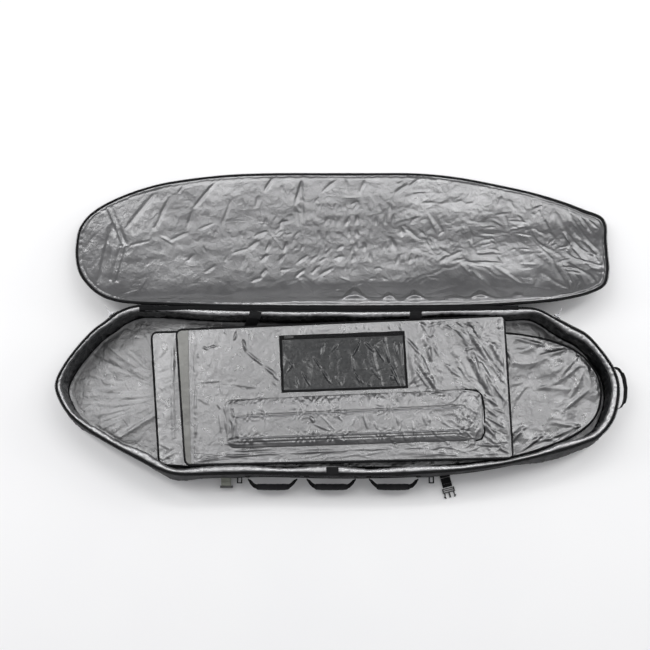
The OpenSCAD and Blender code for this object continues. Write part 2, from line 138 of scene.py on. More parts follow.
def ridges(x, y, size, seed, warp=0.5):
    """Sharp creases: a warped field folded about zero."""
    u = x + warp * size * waves(x, y, size * 1.6, seed + 1)
    v = y + warp * size * waves(x, y, size * 1.6, seed + 2)
    return 1 - np.minimum(np.abs(waves(u, v, size, seed, 7)), 1)


def crumple(x, y, seed, size=40, k=3):
    out = 0
    for i in range(k):
        out = out + ridges(x, y, size / 1.9 ** i, seed + 10 * i) * 0.5 ** i
    return out / 1.75 - 0.5


def line_field(x, y, seed, size, ang, aniso=3.5):
    """Creases that mostly run one way."""
    c, s = math.cos(ang), math.sin(ang)
    u, v = x * c + y * s, -x * s + y * c
    return ridges(u / aniso, v, size, seed, 0.6)


def strokes(x, y, S):
    """Sum of tapered tent-shaped folds: x0, y0, x1, y1, half width, height, and an optional lean."""
    out = np.zeros_like(x, float)
    for s in S:
        x0, y0, x1, y1, w, h = s[:6]
        lean = s[6] if len(s) > 6 else 0.0
        dx, dy = x1 - x0, y1 - y0
        L = math.hypot(dx, dy)
        if L < 1e-6:
            continue
        ux, uy = dx / L, dy / L
        lo_x, hi_x = min(x0, x1) - 2 * w, max(x0, x1) + 2 * w
        lo_y, hi_y = min(y0, y1) - 2 * w, max(y0, y1) + 2 * w
        m = (x > lo_x) & (x < hi_x) & (y > lo_y) & (y < hi_y)
        if not m.any():
            continue
        px, py = x[m] - x0, y[m] - y0
        t = (px * ux + py * uy) / L
        d = (-px * uy + py * ux)
        bow = (s[7] if len(s) > 7 else 0.0) * 4 * t * (1 - t)
        d = d - bow
        tt = np.clip(t, 0, 1)
        taper = np.clip(np.sin(math.pi * tt), 0, 1) ** 0.6 * ((t > 0) & (t < 1))
        ww = w * (0.35 + 0.65 * taper)
        q = d / ww
        prof = np.where(q < 0, np.clip(1 + q / (1 - lean * 0.6), 0, 1), np.clip(1 - q / (1 + lean * 0.6), 0, 1))
        prof = prof * prof * (3 - 2 * prof) * 0.5 + prof * 0.5
        out[m] += h * prof * taper
    return out


def scatter(n, area, ang, spread, length, width, height, seed, mask=None):
    """Random strokes in a box (x0, y0, x1, y1) that run about one way."""
    g = np.random.default_rng(seed)
    out = []
    for _ in range(n):
        cx, cy = g.uniform(area[0], area[2]), g.uniform(area[1], area[3])
        if mask is not None and not mask(cx, cy):
            continue
        a = math.radians(ang + g.normal() * spread)
        L = g.uniform(*length) / 2
        h = g.uniform(*height) * (1 if g.random() < 0.8 else -1)
        out.append((cx - L * math.cos(a), cy - L * math.sin(a), cx + L * math.cos(a), cy + L * math.sin(a),
                    g.uniform(*width), h, g.uniform(-1, 1), g.normal() * L * 0.18))
    return out


def dist_to(x, y, P):
    """Distance from each point to a closed outline."""
    P = resample(P, 420)
    A, B = P, np.roll(P, -1, 0)
    pts = np.stack([x.ravel(), y.ravel()], 1)
    best = np.full(len(pts), 1e9)
    for i in range(0, len(pts), 20000):
        p = pts[i:i + 20000, None, :]
        ab = (B - A)[None]
        t = np.clip(((p - A[None]) * ab).sum(2) / np.maximum((ab ** 2).sum(2), 1e-9), 0, 1)
        q = A[None] + t[..., None] * ab
        best[i:i + 20000] = np.sqrt(((p - q) ** 2).sum(2)).min(1)
    return best.reshape(x.shape)


def sstep(a, b, x):
    t = np.clip((x - a) / (b - a), 0, 1)
    return t * t * (3 - 2 * t)


def bell(x, c, w):
    return np.exp(-((x - c) / w) ** 2)


# ---------------------------------------------------------------- meshes

def build(name, V, F, mats, fmat=None, smooth=True):
    me = bpy.data.meshes.new(name)
    me.from_pydata((np.asarray(V, float) * MM).tolist(), [], F)
    for m in mats if isinstance(mats, (list, tuple)) else [mats]:
        me.materials.append(m)
    if fmat is not None:
        me.polygons.foreach_set("material_index", np.asarray(fmat, np.int32))
    me.polygons.foreach_set("use_smooth", np.full(len(me.polygons), smooth))
    me.update()
    o = bpy.data.objects.new(name, me)
    bpy.context.scene.collection.objects.link(o)
    return o


def grid_faces(nr, nc, off=0, wrap_c=False, wrap_r=False, flip=False):
    r = np.arange(nr if wrap_r else nr - 1)
    c = np.arange(nc if wrap_c else nc - 1)
    R, C = np.meshgrid(r, c, indexing="ij")
    a = R * nc + C
    b = R * nc + (C + 1) % nc
    d = ((R + 1) % nr) * nc + C
    e = ((R + 1) % nr) * nc + (C + 1) % nc
    q = np.stack([a, b, e, d], -1).reshape(-1, 4) + off
    return (q[:, ::-1] if flip else q).tolist()


def sweep(name, P, sides, ups, shape, mats, closed=False, fmat=None):
    """Sweeps a closed cross-section (a, b) along P: a runs along sides and b along ups, both per station, in mm."""
    shape = np.asarray(shape, float)
    n, k = len(P), len(shape)
    V = (P[:, None] + sides[:, None] * shape[None, :, :1] + ups[:, None] * shape[None, :, 1:]).reshape(-1, 3)
    F = grid_faces(n, k, wrap_c=True, wrap_r=closed)
    if not closed:
        F = F + [list(range(k))[::-1], [(n - 1) * k + i for i in range(k)]]
    return build(name, V, F, mats)


def oval(k=10, p=2.0):
    a = np.linspace(0, 2 * math.pi, k, endpoint=False)
    c, s = np.cos(a), np.sin(a)
    return np.stack([np.sign(c) * np.abs(c) ** (2 / p), np.sign(s) * np.abs(s) ** (2 / p)], 1)


STRAP = [(-1, -0.5), (-0.96, -1), (-0.5, -1), (0, -1), (0.5, -1), (0.96, -1), (1, -0.5),
         (1, 0.5), (0.96, 1), (0.5, 1), (0, 1), (-0.5, 1), (-0.96, 1), (-1, 0.5)]


def frame_of(P, up, closed=False):
    T = tangents(P, closed)
    up = np.broadcast_to(np.asarray(up, float), P.shape)
    S = np.cross(T, up)
    S /= np.maximum(np.linalg.norm(S, axis=1, keepdims=True), 1e-9)
    U = np.cross(S, T)
    return T, S, U


def piping(name, P, a, b, mats, up=(0, 0, 1), closed=True, p=2.6, ripple=0.05, seed=3, k=12):
    T, S, U = frame_of(P, up, closed)
    g = np.random.default_rng(seed)
    n = len(P)
    w = 1 + ripple * np.convolve(np.r_[g.normal(size=n + 8)], np.ones(5) / 2.2, "same")[:n]
    return sweep(name, P, S * a * w[:, None], U * b * w[:, None], oval(k, p), mats, closed)


def ribbon(name, P, width, thick, mats, side=None, up=(0, 0, 1), closed=False):
    """Flat strap along P. side gives the direction of its width; else it is square to up."""
    P = np.asarray(P, float)
    T = tangents(P, closed)
    if side is None:
        _, S, U = frame_of(P, up, closed)
    else:
        S = np.broadcast_to(np.asarray(side, float), P.shape)
        S = S - (S * T).sum(1, keepdims=True) * T
        S = S / np.linalg.norm(S, axis=1, keepdims=True)
        U = np.cross(S, T)
    return sweep(name, P, S * width / 2, U * thick / 2, STRAP, mats, closed)


def coil(name, P, r, pitch, wire, mats, up=(0, 0, 1), closed=False, flat=0.6, k=7):
    P = np.asarray(P, float)
    L = np.linalg.norm(np.diff(P, axis=0), axis=1).sum()
    n = int(L / pitch * k)
    Q = resample(P, n, False)
    T, S, U = frame_of(Q, up, False)
    a = np.arange(n) / k * 2 * math.pi
    H = Q + S * (r * np.cos(a))[:, None] + U * (r * flat * np.sin(a))[:, None]
    T2 = tangents(H, False)
    S2 = np.cross(T2, T)
    S2 /= np.maximum(np.linalg.norm(S2, axis=1, keepdims=True), 1e-9)
    U2 = np.cross(S2, T2)
    return sweep(name, H, S2 * wire, U2 * wire, oval(4), mats)


def stitches(name, P, mats, pitch=5.0, length=3.4, w=0.55, h=0.35, up=None, closed=True, side=None):
    """A row of thread stitches lying on a path."""
    P = np.asarray(P, float)
    Q = np.vstack([P, P[:1]]) if closed else P
    L = np.linalg.norm(np.diff(Q, axis=0), axis=1).sum()
    n = max(2, int(L / pitch))
    C = resample(P, n, closed)
    T, S, U = frame_of(C, (0, 0, 1) if up is None else up, closed)
    sh = np.array([(-1, 0), (-0.45, 1), (0.45, 1), (1, 0), (0.45, -1), (-0.45, -1)])
    V, F = [], []
    for z, s in ((0.0, 1.0), (1.0, 0.7)):
        V.append(C[:, None] + T[:, None] * (sh[None, :, :1] * length / 2 * s) + S[:, None] * (sh[None, :, 1:] * w * s)
                 + U[:, None] * (h * (2 * z - 1)))
    V = np.stack(V, 1).reshape(-1, 3)
    k = 6
    for i in range(n):
        o = i * 2 * k
        F.append([o + j for j in range(k)][::-1])
        F.append([o + k + j for j in range(k)])
        for j in range(k):
            F.append([o + j, o + (j + 1) % k, o + k + (j + 1) % k, o + k + j])
    return build(name, V, F, mats, smooth=False)


def coons(outline, corners, nu, nv):
    """A grid that fills a closed outline; corners are the points nearest its four corners, in the outline's order."""
    O = resample(outline, 1600)
    idx = [int(np.argmin(((O - np.array(c)) ** 2).sum(1))) for c in corners]

    def side(a, b, n):
        if b <= a:
            b += len(O)
        return resample(O[np.arange(a, b + 1) % len(O)], n, False)
    c0 = side(idx[0], idx[1], nu)
    d1 = side(idx[1], idx[2], nv)
    c1 = side(idx[2], idx[3], nu)[::-1]
    d0 = side(idx[3], idx[0], nv)[::-1]
    u = np.linspace(0, 1, nu)[None, :, None]
    v = np.linspace(0, 1, nv)[:, None, None]
    G = (1 - v) * c0[None] + v * c1[None] + (1 - u) * d0[:, None] + u * d1[:, None] \
        - ((1 - u) * (1 - v) * c0[0] + u * (1 - v) * c0[-1] + (1 - u) * v * c1[0] + u * v * c1[-1])
    return G


def edge_loop(nv, nu):
    """Indices round a grid's border, in order."""
    a = [i for i in range(nu)]
    a += [r * nu + nu - 1 for r in range(1, nv)]
    a += [(nv - 1) * nu + i for i in range(nu - 2, -1, -1)]
    a += [r * nu for r in range(nv - 2, 0, -1)]
    return a


def pad(name, G, ztop, zbot, mats, place=None, side_mat=1, bot_mat=1):
    """A closed pad over a grid, with a top and an underside that share its border."""
    nv, nu = G.shape[:2]
    top = np.concatenate([G, ztop[..., None]], 2).reshape(-1, 3)
    bot = np.concatenate([G, zbot[..., None]], 2).reshape(-1, 3)
    V = np.vstack([top, bot])
    if place is not None:
        V = place(V)
    F = grid_faces(nv, nu)
    F2 = grid_faces(nv, nu, off=nu * nv, flip=True)
    e = edge_loop(nv, nu)
    m = nu * nv
    F3 = [[e[i], e[i - 1], e[i - 1] + m, e[i] + m] for i in range(len(e))]
    fm = [0] * len(F) + [bot_mat] * len(F2) + [side_mat] * len(F3)
    return build(name, V, F + F2 + F3, mats, fm)


# ---------------------------------------------------------------- materials

def new_mat(name):
    m = bpy.data.materials.new(name)
    m.use_nodes = True
    nt = m.node_tree
    b = nt.nodes["Principled BSDF"]
    return m, nt, b


def node(nt, kind, **kw):
    n = nt.nodes.new(kind)
    for k, v in kw.items():
        if k.startswith("i_"):
            n.inputs[k[2:].replace("_", " ")].default_value = v
        else:
            setattr(n, k, v)
    return n


def ramp(nt, src, stops):
    r = nt.nodes.new("ShaderNodeValToRGB")
    e = r.color_ramp.elements
    while len(e) < len(stops):
        e.new(0.5)
    for el, (p, c) in zip(e, stops):
        el.position = p
        el.color = (*c, 1) if isinstance(c, tuple) else (c, c, c, 1)
    nt.links.new(src, r.inputs["Fac"])
    return r.outputs["Color"]


def coords(nt):
    return nt.nodes.new("ShaderNodeTexCoord").outputs["Object"]


def bump_chain(nt, b, layers):
    """layers: (height socket, strength, distance in metres)"""
    last = None
    for h, s, d in layers:
        bp = nt.nodes.new("ShaderNodeBump")
        bp.inputs["Strength"].default_value = s
        bp.inputs["Distance"].default_value = d
        nt.links.new(h, bp.inputs["Height"])
        if last is not None:
            nt.links.new(last, bp.inputs["Normal"])
        last = bp.outputs["Normal"]
    nt.links.new(last, b.inputs["Normal"])


def weave(nt, co, period):
    s = 0.314 / period
    a = node(nt, "ShaderNodeTexWave", wave_type="BANDS", bands_direction="X", i_Scale=s, i_Distortion=0.3)
    c = node(nt, "ShaderNodeTexWave", wave_type="BANDS", bands_direction="Y", i_Scale=s, i_Distortion=0.3)
    nt.links.new(co, a.inputs["Vector"])
    nt.links.new(co, c.inputs["Vector"])
    mx = nt.nodes.new("ShaderNodeMath")
    mx.operation = "ADD"
    nt.links.new(a.outputs["Fac"], mx.inputs[0])
    nt.links.new(c.outputs["Fac"], mx.inputs[1])
    return mx.outputs[0]


def noise(nt, co, scale, detail=3, rough=0.55, dist=0.0):
    n = node(nt, "ShaderNodeTexNoise", i_Scale=scale, i_Detail=detail, i_Roughness=rough, i_Distortion=dist)
    nt.links.new(co, n.inputs["Vector"])
    return n.outputs["Fac"]


def silver(name, lo, hi, rough, crinkle=1.0, metal=0.9, tint=(1.0, 1.0, 1.01)):
    m, nt, b = new_mat(name)
    co = coords(nt)
    big = noise(nt, co, 3.0, 4)
    t = [tuple(v * k for k in tint) for v in (lo, (lo + hi) / 2, hi)]
    nt.links.new(ramp(nt, big, [(0.3, t[0]), (0.5, t[1]), (0.72, t[2])]), b.inputs["Base Color"])
    b.inputs["Metallic"].default_value = metal
    fine = noise(nt, co, 30, 4, 0.6, 0.4)
    nt.links.new(ramp(nt, fine, [(0.25, rough - 0.07), (0.75, rough + 0.09)]), b.inputs["Roughness"])
    cr = node(nt, "ShaderNodeTexVoronoi", feature="DISTANCE_TO_EDGE", i_Scale=26.0)
    warp = noise(nt, co, 14, 2, 0.5)
    mix = nt.nodes.new("ShaderNodeVectorMath")
    mix.operation = "MULTIPLY_ADD"
    comb = nt.nodes.new("ShaderNodeCombineXYZ")
    nt.links.new(warp, comb.inputs[0])
    nt.links.new(fine, comb.inputs[1])
    nt.links.new(comb.outputs[0], mix.inputs[0])
    mix.inputs[1].default_value = (0.06, 0.06, 0.0)
    nt.links.new(co, mix.inputs[2])
    nt.links.new(mix.outputs[0], cr.inputs["Vector"])
    edge = ramp(nt, cr.outputs["Distance"], [(0.0, 0.0), (0.22, 1.0)])
    med = noise(nt, co, 34, 3, 0.5, 0.6)
    bump_chain(nt, b, [(med, 0.35 * crinkle, 0.006), (edge, 0.25 * crinkle, 0.0008), (weave(nt, co, 0.0016), 0.12, 0.0004)])
    return m


def cloth(name, col, rough=0.7, period=0.0013, tone=0.5, strength=0.4, metal=0.0, spec=0.4, sheen=0.15):
    m, nt, b = new_mat(name)
    co = coords(nt)
    big = noise(nt, co, 12, 4)
    nt.links.new(ramp(nt, big, [(0.3, tuple(c * (1 - tone * 0.35) for c in col)), (0.7, tuple(c * (1 + tone) for c in col))]),
                 b.inputs["Base Color"])
    nt.links.new(ramp(nt, noise(nt, co, 45, 3), [(0.3, rough - 0.08), (0.7, rough + 0.08)]), b.inputs["Roughness"])
    b.inputs["Metallic"].default_value = metal
    b.inputs["Specular IOR Level"].default_value = spec
    b.inputs["Sheen Weight"].default_value = sheen
    bump_chain(nt, b, [(noise(nt, co, 28, 3, 0.5, 0.5), 0.3, 0.004), (weave(nt, co, period), strength, 0.0005)])
    return m


def plastic(name, col, rough=0.35, grain=500, metal=0.0):
    m, nt, b = new_mat(name)
    co = coords(nt)
    g = noise(nt, co, grain, 2)
    nt.links.new(ramp(nt, noise(nt, co, 60, 3), [(0.3, tuple(c * 0.85 for c in col)), (0.7, tuple(c * 1.2 for c in col))]),
                 b.inputs["Base Color"])
    nt.links.new(ramp(nt, g, [(0.3, rough - 0.06), (0.7, rough + 0.08)]), b.inputs["Roughness"])
    b.inputs["Metallic"].default_value = metal
    bump_chain(nt, b, [(g, 0.15, 0.0003)])
    return m


M_SILVER = silver("silver_lining_mat", 0.20, 0.28, 0.34)
M_SILVER_T = silver("silver_tub_mat", 0.12, 0.18, 0.32, 1.1)
M_SILVER_D = silver("silver_divider_mat", 0.15, 0.205, 0.30)
# Rolled rim lining: the same silver film with a brighter base and less metal so that it also takes diffuse light. This
# is painted light where the rim turns up toward the lamps.
M_ROLL_PAINTED_LIGHT = silver("silver_rim_painted_light_mat", 0.24, 0.36, 0.34, 1.5, 0.85)
# Gusset wall lining: the same silver film with a near-black, blue-tinted base, which is painted shade down the inner
# wall and a painted bluish reflection.
M_GUSSET_PAINTED_SHADE = silver("gusset_lining_painted_shade_mat", 0.022, 0.055, 0.30, 1.6, 0.7, (0.95, 1.0, 1.12))
M_HEM = silver("hem_strip_mat", 0.13, 0.17, 0.42, 0.8, 0.6, (1.0, 1.0, 0.95))
M_BLACK = cloth("black_shell_mat", (0.006, 0.006, 0.0075), 0.62, spec=0.25, sheen=0.03)
M_BIND = cloth("binding_mat", (0.003, 0.003, 0.0035), 0.6, 0.0018, 0.4, 0.6, spec=0.16, sheen=0.0)
M_WEB = cloth("webbing_mat", (0.005, 0.005, 0.0055), 0.62, 0.0022, 0.4, 0.9, spec=0.2, sheen=0.02)
M_PALE = cloth("pale_webbing_mat", (0.26, 0.27, 0.23), 0.7, 0.0022, 0.25, 0.9, sheen=0.0)
M_GRIP = cloth("grip_mat", (0.010, 0.010, 0.011), 0.75, 0.0011, 0.6, 0.7, spec=0.22, sheen=0.06)
M_THREAD = cloth("thread_mat", (0.03, 0.03, 0.032), 0.6, 0.0008, 0.3, 0.3)
M_THREAD_S = cloth("silver_thread_mat", (0.30, 0.30, 0.31), 0.5, 0.0008, 0.3, 0.3)
M_COIL = plastic("coil_mat", (0.012, 0.012, 0.013), 0.4)
M_BUCKLE = plastic("buckle_mat", (0.006, 0.006, 0.0065), 0.34)
M_METAL = plastic("slider_mat", (0.20, 0.20, 0.21), 0.32, 300, 0.9)
M_FILM = plastic("film_mat", (0.014, 0.015, 0.016), 0.19, 90)

# ---------------------------------------------------------------- folds
# Each fold: where it starts and ends, half width and height in mm, and which side it leans to.
# On the lid they are given as x and the distance from the hinge line, on the divider in its own frame.

LID_A = [
    (-909, 396, -921, 298, 22, 4.5, -0.3), (-922, 338, -943, 105, 20, 6, 0.5), 
    (-909, 284, -933, 140, 9, 3, 0.2), (-886, 372, -858, 294, 12, 3.5, 0.4), 
    (-908, 392, -887, 345, 10, 2.5), (-864, 284, -874, 231, 16, 2, 0), 
    (-857, 372, -748, 534, 17, 3.8, 0.2), (-855, 440, -823, 345, 14, 1.8, 0), 
    (-739, 372, -687, 522, 12, 3.6, 0.3), (-747, 392, -733, 365, 8, 2), (-652, 538, -635, 574, 8, 2.6), 
    (-607, 382, -588, 471, 12, 3, 0.3), (-588, 471, -499, 594, 12, 3.8, 0.3), 
    (-472, 392, -434, 516, 10, 1.6), (-300, 548, -269, 608, 10, 3.2, 0.2), 
    (-678, 321, -598, 365, 12, 2.4, 0.3), (-720, 345, -657, 308, 10, -2.0), 
    (-572, 375, -499, 409, 8, 1.6), (-501, 345, -492, 378, 6, 1.5), (-842, 294, -753, 324, 10, 1.6), 
    (-545, 304, -529, 272, 7, 2), (-598, 228, -576, 266, 8, 2.2, 0.3), 
    (-533, 178, -488, 213, 8, 2.4, 0.3), (-715, 231, -715, 298, 8, 1.3), (-548, 153, -564, 134, 8, 1.2), 
    (-780, 92, -758, 154, 6, -1.8, 0.2), (-860, 54, -781, 94, 7, -1.8), (-581, 130, -547, 134, 7, 1.2), 
    (-659, 44, -611, 70, 10, 1.4), (-397, 324, -388, 375, 7, 1.5), (-450, 231, -441, 264, 7, 1.4), 
    (-424, 268, -356, 291, 8, 2.2, 0.3), (-356, 291, -314, 328, 12, 3.4, 0.3), 
    (-335, 345, -284, 370, 10, 2.6, 0.2), (-284, 281, -271, 326, 7, 2.4), (-213, 281, -201, 324, 7, 2.4), 
    (-308, 231, -285, 264, 8, 2.2), (-344, 139, -298, 161, 9, 3.2, 0.4), (-307, 166, -284, 205, 8, 2.0), 
    (-232, 228, -223, 266, 7, 2), (-228, 192, -194, 199, 8, 1.8), (-387, 192, -375, 258, 9, 1.2), 
    (-358, 185, -353, 218, 8, 1.1), (-333, 475, -323, 530, 14, 2.2), (-296, 392, -290, 430, 9, 2.6), 
    (-232, 378, -221, 426, 12, 3), (-249, 365, -238, 392, 8, 2.4), (-393, 530, -382, 468, 8, 1.2), 
    (-1010, 258, -978, 338, 12, 1.4, 0.2), (-973, 179, -949, 245, 9, 1.4), 
    (-1009, 192, -972, 114, 8, 1.3)]
LID_B = [
    (-146, 603, -172, 487, 13, 4.6, 0.4), (-146, 603, -141, 402, 11, 3.6, -0.4), 
    (-172, 487, -158, 392, 10, 3.2, 0.3), (-167, 496, -145, 461, 9, 2), 
    (-269, 607, -297, 550, 10, 3.2, 0.3), (-224, 580, -229, 548, 12, 1.8), 
    (-60, 548, 1, 603, 11, 3.2, 0.4), (36, 607, 41, 548, 9, 2.6), (116, 605, 94, 545, 9, 3.0, 0.3), 
    (-94, 496, -76, 527, 8, 1.8), (20, 523, 94, 525, 5, -1.4), (58, 489, 88, 506, 9, 2.6), 
    (66, 461, 87, 502, 7, 2.4), (-7, 372, 28, 367, 4, -1.2), (-46, 398, -39, 437, 8, 2.8, 0.3), 
    (2, 398, 3, 435, 8, 2.2), (38, 396, 50, 435, 8, 2.8, 0.3), (79, 396, 83, 444, 9, 3.6), 
    (156, 396, 160, 440, 7, 2.8), (196, 399, 198, 446, 8, 3.0), (226, 398, 230, 448, 8, 3.0), 
    (-79, 461, -76, 496, 6, 1.3), (-59, 461, -56, 494, 6, 1.3), (-12, 461, -6, 496, 7, 1.6), 
    (6, 461, 9, 492, 7, 1.6), (29, 468, 30, 496, 6, 1.2), (174, 461, 173, 496, 6, 2), 
    (220, 461, 217, 499, 8, 2.4), (-73, 339, -79, 378, 9, 2.4), (-41, 339, -38, 375, 8, 1.6), 
    (48, 345, 48, 378, 7, 3.2), (80, 341, 79, 378, 9, 3.4), (134, 339, 134, 382, 8, 2.4), 
    (-44, 284, -46, 311, 6, 1.6), (1, 284, 24, 308, 8, 3.2, 0.4), (57, 271, 62, 311, 8, 2.4), 
    (76, 284, 74, 321, 8, 3.2), (110, 278, 108, 321, 11, 3.6), (194, 324, 187, 284, 8, 2.2), 
    (220, 338, 221, 284, 9, 2.6), (-166, 221, -116, 263, 7, 3.0, 0.4), 
    (-110, 230, -80, 261, 7, 2.6, 0.3), (-70, 230, -46, 252, 7, 2.6, 0.3), 
    (-50, 258, -24, 292, 7, 2.2, 0.3), (-13, 245, 27, 259, 8, 2.0), (4, 231, 5, 264, 8, 1.8), 
    (61, 231, 68, 268, 10, 2.8), (135, 231, 131, 268, 9, 2.2), (239, 221, 247, 271, 9, 3.2), 
    (290, 221, 299, 271, 9, 3.2), (319, 225, 322, 268, 8, 2.6), (-170, 158, -128, 200, 10, 4.0, 0.5), 
    (-103, 176, -74, 213, 8, 3.0, 0.4), (-71, 169, -18, 205, 9, 3.4, 0.4), 
    (-223, 172, -220, 205, 10, 2.4), (-306, 158, -284, 199, 10, 3.2, 0.3), (32, 192, 36, 221, 6, 1.8), 
    (49, 192, 55, 221, 6, 1.6), (-297, 231, -281, 268, 7, 2.0), (-234, 223, -211, 266, 8, 2.0, 0.3), 
    (-216, 274, -205, 326, 6, 2.6, 0.4), (-287, 276, -271, 318, 6, 2.4, 0.4), 
    (-173, 284, -161, 308, 5, 2.2), (-144, 281, -140, 314, 5, 2.2), (-178, 314, -174, 355, 5, 2.4), 
    (-174, 345, -157, 370, 5, 2.2), (-249, 350, -226, 375, 5, 2.6), (-225, 345, -211, 365, 4, 2.0), 
    (-211, 350, -180, 365, 4, 1.8), (-238, 404, -195, 418, 9, 3.0), (-278, 372, -219, 284, 4, -1.6), 
    (-219, 284, -195, 231, 3, -1.2), (-284, 630, -315, 573, 5, -1.0), (122, 153, 156, 156, 5, 1.6), 
    (173, 166, 200, 147, 5, 1.8), (145, 199, 174, 205, 7, 1.6), (268, 140, 291, 159, 7, 2.0), 
    (323, 127, 359, 163, 9, 2.6, 0.3), (359, 163, 403, 153, 8, 1.8), (413, 231, 448, 258, 12, 3.2), 
    (209, 345, 234, 284, 15, 4.0, 0.4), (256, 392, 263, 345, 12, 4.2, 0.3), 
    (265, 399, 337, 324, 14, 2.6, 0.3), (328, 378, 361, 345, 10, 2.6), (300, 406, 325, 440, 9, 2.2), 
    (366, 461, 408, 351, 6, -2.4, 0.4), (381, 454, 431, 358, 5, 2.4, 0.3), (408, 351, 432, 372, 5, 1.8), 
    (344, 345, 384, 278, 6, 2.2), (316, 426, 342, 437, 7, 1.6), (235, 538, 295, 580, 14, 3.6, 0.3), 
    (294, 566, 349, 608, 9, 3.0, 0.3), (308, 546, 388, 550, 6, -2.0), (248, 580, 272, 594, 10, 2), 
    (339, 496, 415, 502, 8, 1.8), (420, 489, 462, 509, 9, 1.8), (-159, 158, -93, 75, 10, -3.0, 0.4), 
    (-93, 76, 9, 107, 12, 2.6, 0.5), (-72, 109, 53, 89, 9, -3.0, 0.3), (31, 95, 99, 140, 12, 3.2, 0.6), 
    (99, 140, 165, 95, 12, 3.0, -0.5), (53, 89, 187, 76, 14, -2.2), (176, 81, 307, 71, 9, -3.4, 0.4), 
    (186, 38, 143, 102, 12, 2, 0.4), (-304, 60, -203, 60, 12, 1.8), (-209, 60, -114, 0, 14, 2.4, 0.4), 
    (310, 63, 480, 114, 16, 2.0), (9, 163, 54, 143, 7, -2.0), (54, 121, 110, 137, 4, 1.6)]
LID_C = [
    (380, 440, 408, 358, 5, -2.2, 0.4), (398, 447, 431, 365, 5, 2.4), (416, 355, 432, 372, 5, 1.6), 
    (398, 630, 460, 587, 10, 1.8), (460, 580, 484, 587, 8, 1.6), (588, 384, 646, 385, 6, 1.8), 
    (580, 355, 643, 350, 6, 2.4, 0.3), (584, 324, 636, 331, 6, 1.8), (577, 298, 623, 311, 6, 1.8), 
    (621, 284, 649, 274, 6, 2.4), (557, 268, 638, 274, 7, -3.4, 0.3), (565, 256, 659, 258, 8, 3.6, 0.2), 
    (555, 231, 662, 221, 8, 4.0, -0.4), (637, 264, 660, 231, 7, -2.4), 
    (697, 372, 768, 392, 9, -2.4, 0.3), (719, 358, 787, 345, 7, 2.2), (710, 392, 744, 378, 7, 1.8), 
    (694, 413, 781, 406, 9, 2.2), (698, 278, 718, 284, 6, 1.8), (736, 284, 775, 281, 6, 2.0), 
    (730, 218, 798, 215, 7, -1.8), (734, 199, 785, 199, 7, 1.6), (680, 454, 697, 372, 10, 1.6), 
    (626, 426, 675, 392, 9, -1.8), (644, 440, 703, 447, 9, 1.8), (737, 440, 758, 406, 8, 2.2), 
    (776, 413, 832, 461, 14, 3.0, 0.3), (840, 482, 797, 461, 8, 3.6, 0.4), (796, 502, 800, 468, 6, -3.0), 
    (537, 392, 556, 245, 10, 1.6), (528, 338, 553, 284, 9, -1.4), (436, 245, 501, 278, 10, 2.6, 0.3), 
    (453, 231, 516, 245, 9, 2.4), (405, 298, 460, 258, 8, 1.6), (488, 231, 534, 166, 12, -2.6, 0.4), 
    (495, 231, 627, 210, 10, 3.0, 0.5), (535, 192, 607, 95, 16, -3.2, 0.6), 
    (607, 95, 698, 35, 14, -3.0, 0.5), (627, 210, 754, 111, 14, -2.6, 0.5), 
    (681, 179, 754, 108, 12, 2.6, 0.4), (754, 111, 896, 76, 12, -2.0, 0.4), (698, 35, 754, 108, 10, 2.0), 
    (852, 82, 896, 76, 9, 2.4, 0.3), (882, 95, 913, 76, 7, 2.0), (915, 357, 941, 284, 9, -5.0, 0.5), 
    (920, 358, 969, 278, 9, 4.2, -0.4), (941, 284, 1000, 199, 12, -4.0, 0.5), 
    (973, 311, 1042, 199, 10, 4.6, 0.4), (990, 311, 1043, 231, 9, -3.4, 0.4), 
    (1000, 199, 1041, 166, 12, -2.6), (979, 426, 1008, 365, 9, -4.4, 0.5), 
    (991, 426, 1030, 338, 9, 4.0, -0.3), (1014, 419, 1054, 365, 8, 3.0), (935, 440, 946, 378, 14, -2.6), 
    (883, 440, 881, 372, 14, -2.4), (845, 298, 871, 324, 6, 2.0), (862, 291, 880, 304, 6, 2.0), 
    (884, 284, 930, 287, 5, 2.4), (889, 223, 936, 231, 7, 2.8, 0.3), (895, 199, 953, 184, 9, 3.4, 0.3), 
    (907, 179, 957, 166, 7, 2.0), (962, 166, 982, 95, 10, -3.0, 0.4), (985, 166, 1017, 108, 9, 3.4, 0.3), 
    (1021, 140, 1044, 95, 8, 2.4), (907, 137, 905, 76, 5, 4.0), (919, 134, 918, 70, 6, -4.2), 
    (950, 134, 924, 73, 10, 5.0, 0.2), (971, 95, 958, 76, 5, 2.4), (994, 95, 981, 82, 5, 2.4), 
    (1022, 102, 1012, 86, 4, 2), (827, 284, 848, 324, 6, 1.6), (674, 523, 659, 475, 9, 2.2), 
    (702, 509, 727, 461, 9, 2.4, 0.3), (438, 489, 468, 502, 8, 1.8), (485, 496, 521, 509, 8, 1.8), 
    (519, 489, 561, 496, 8, 1.6), (372, 338, 382, 298, 9, 1.8)]
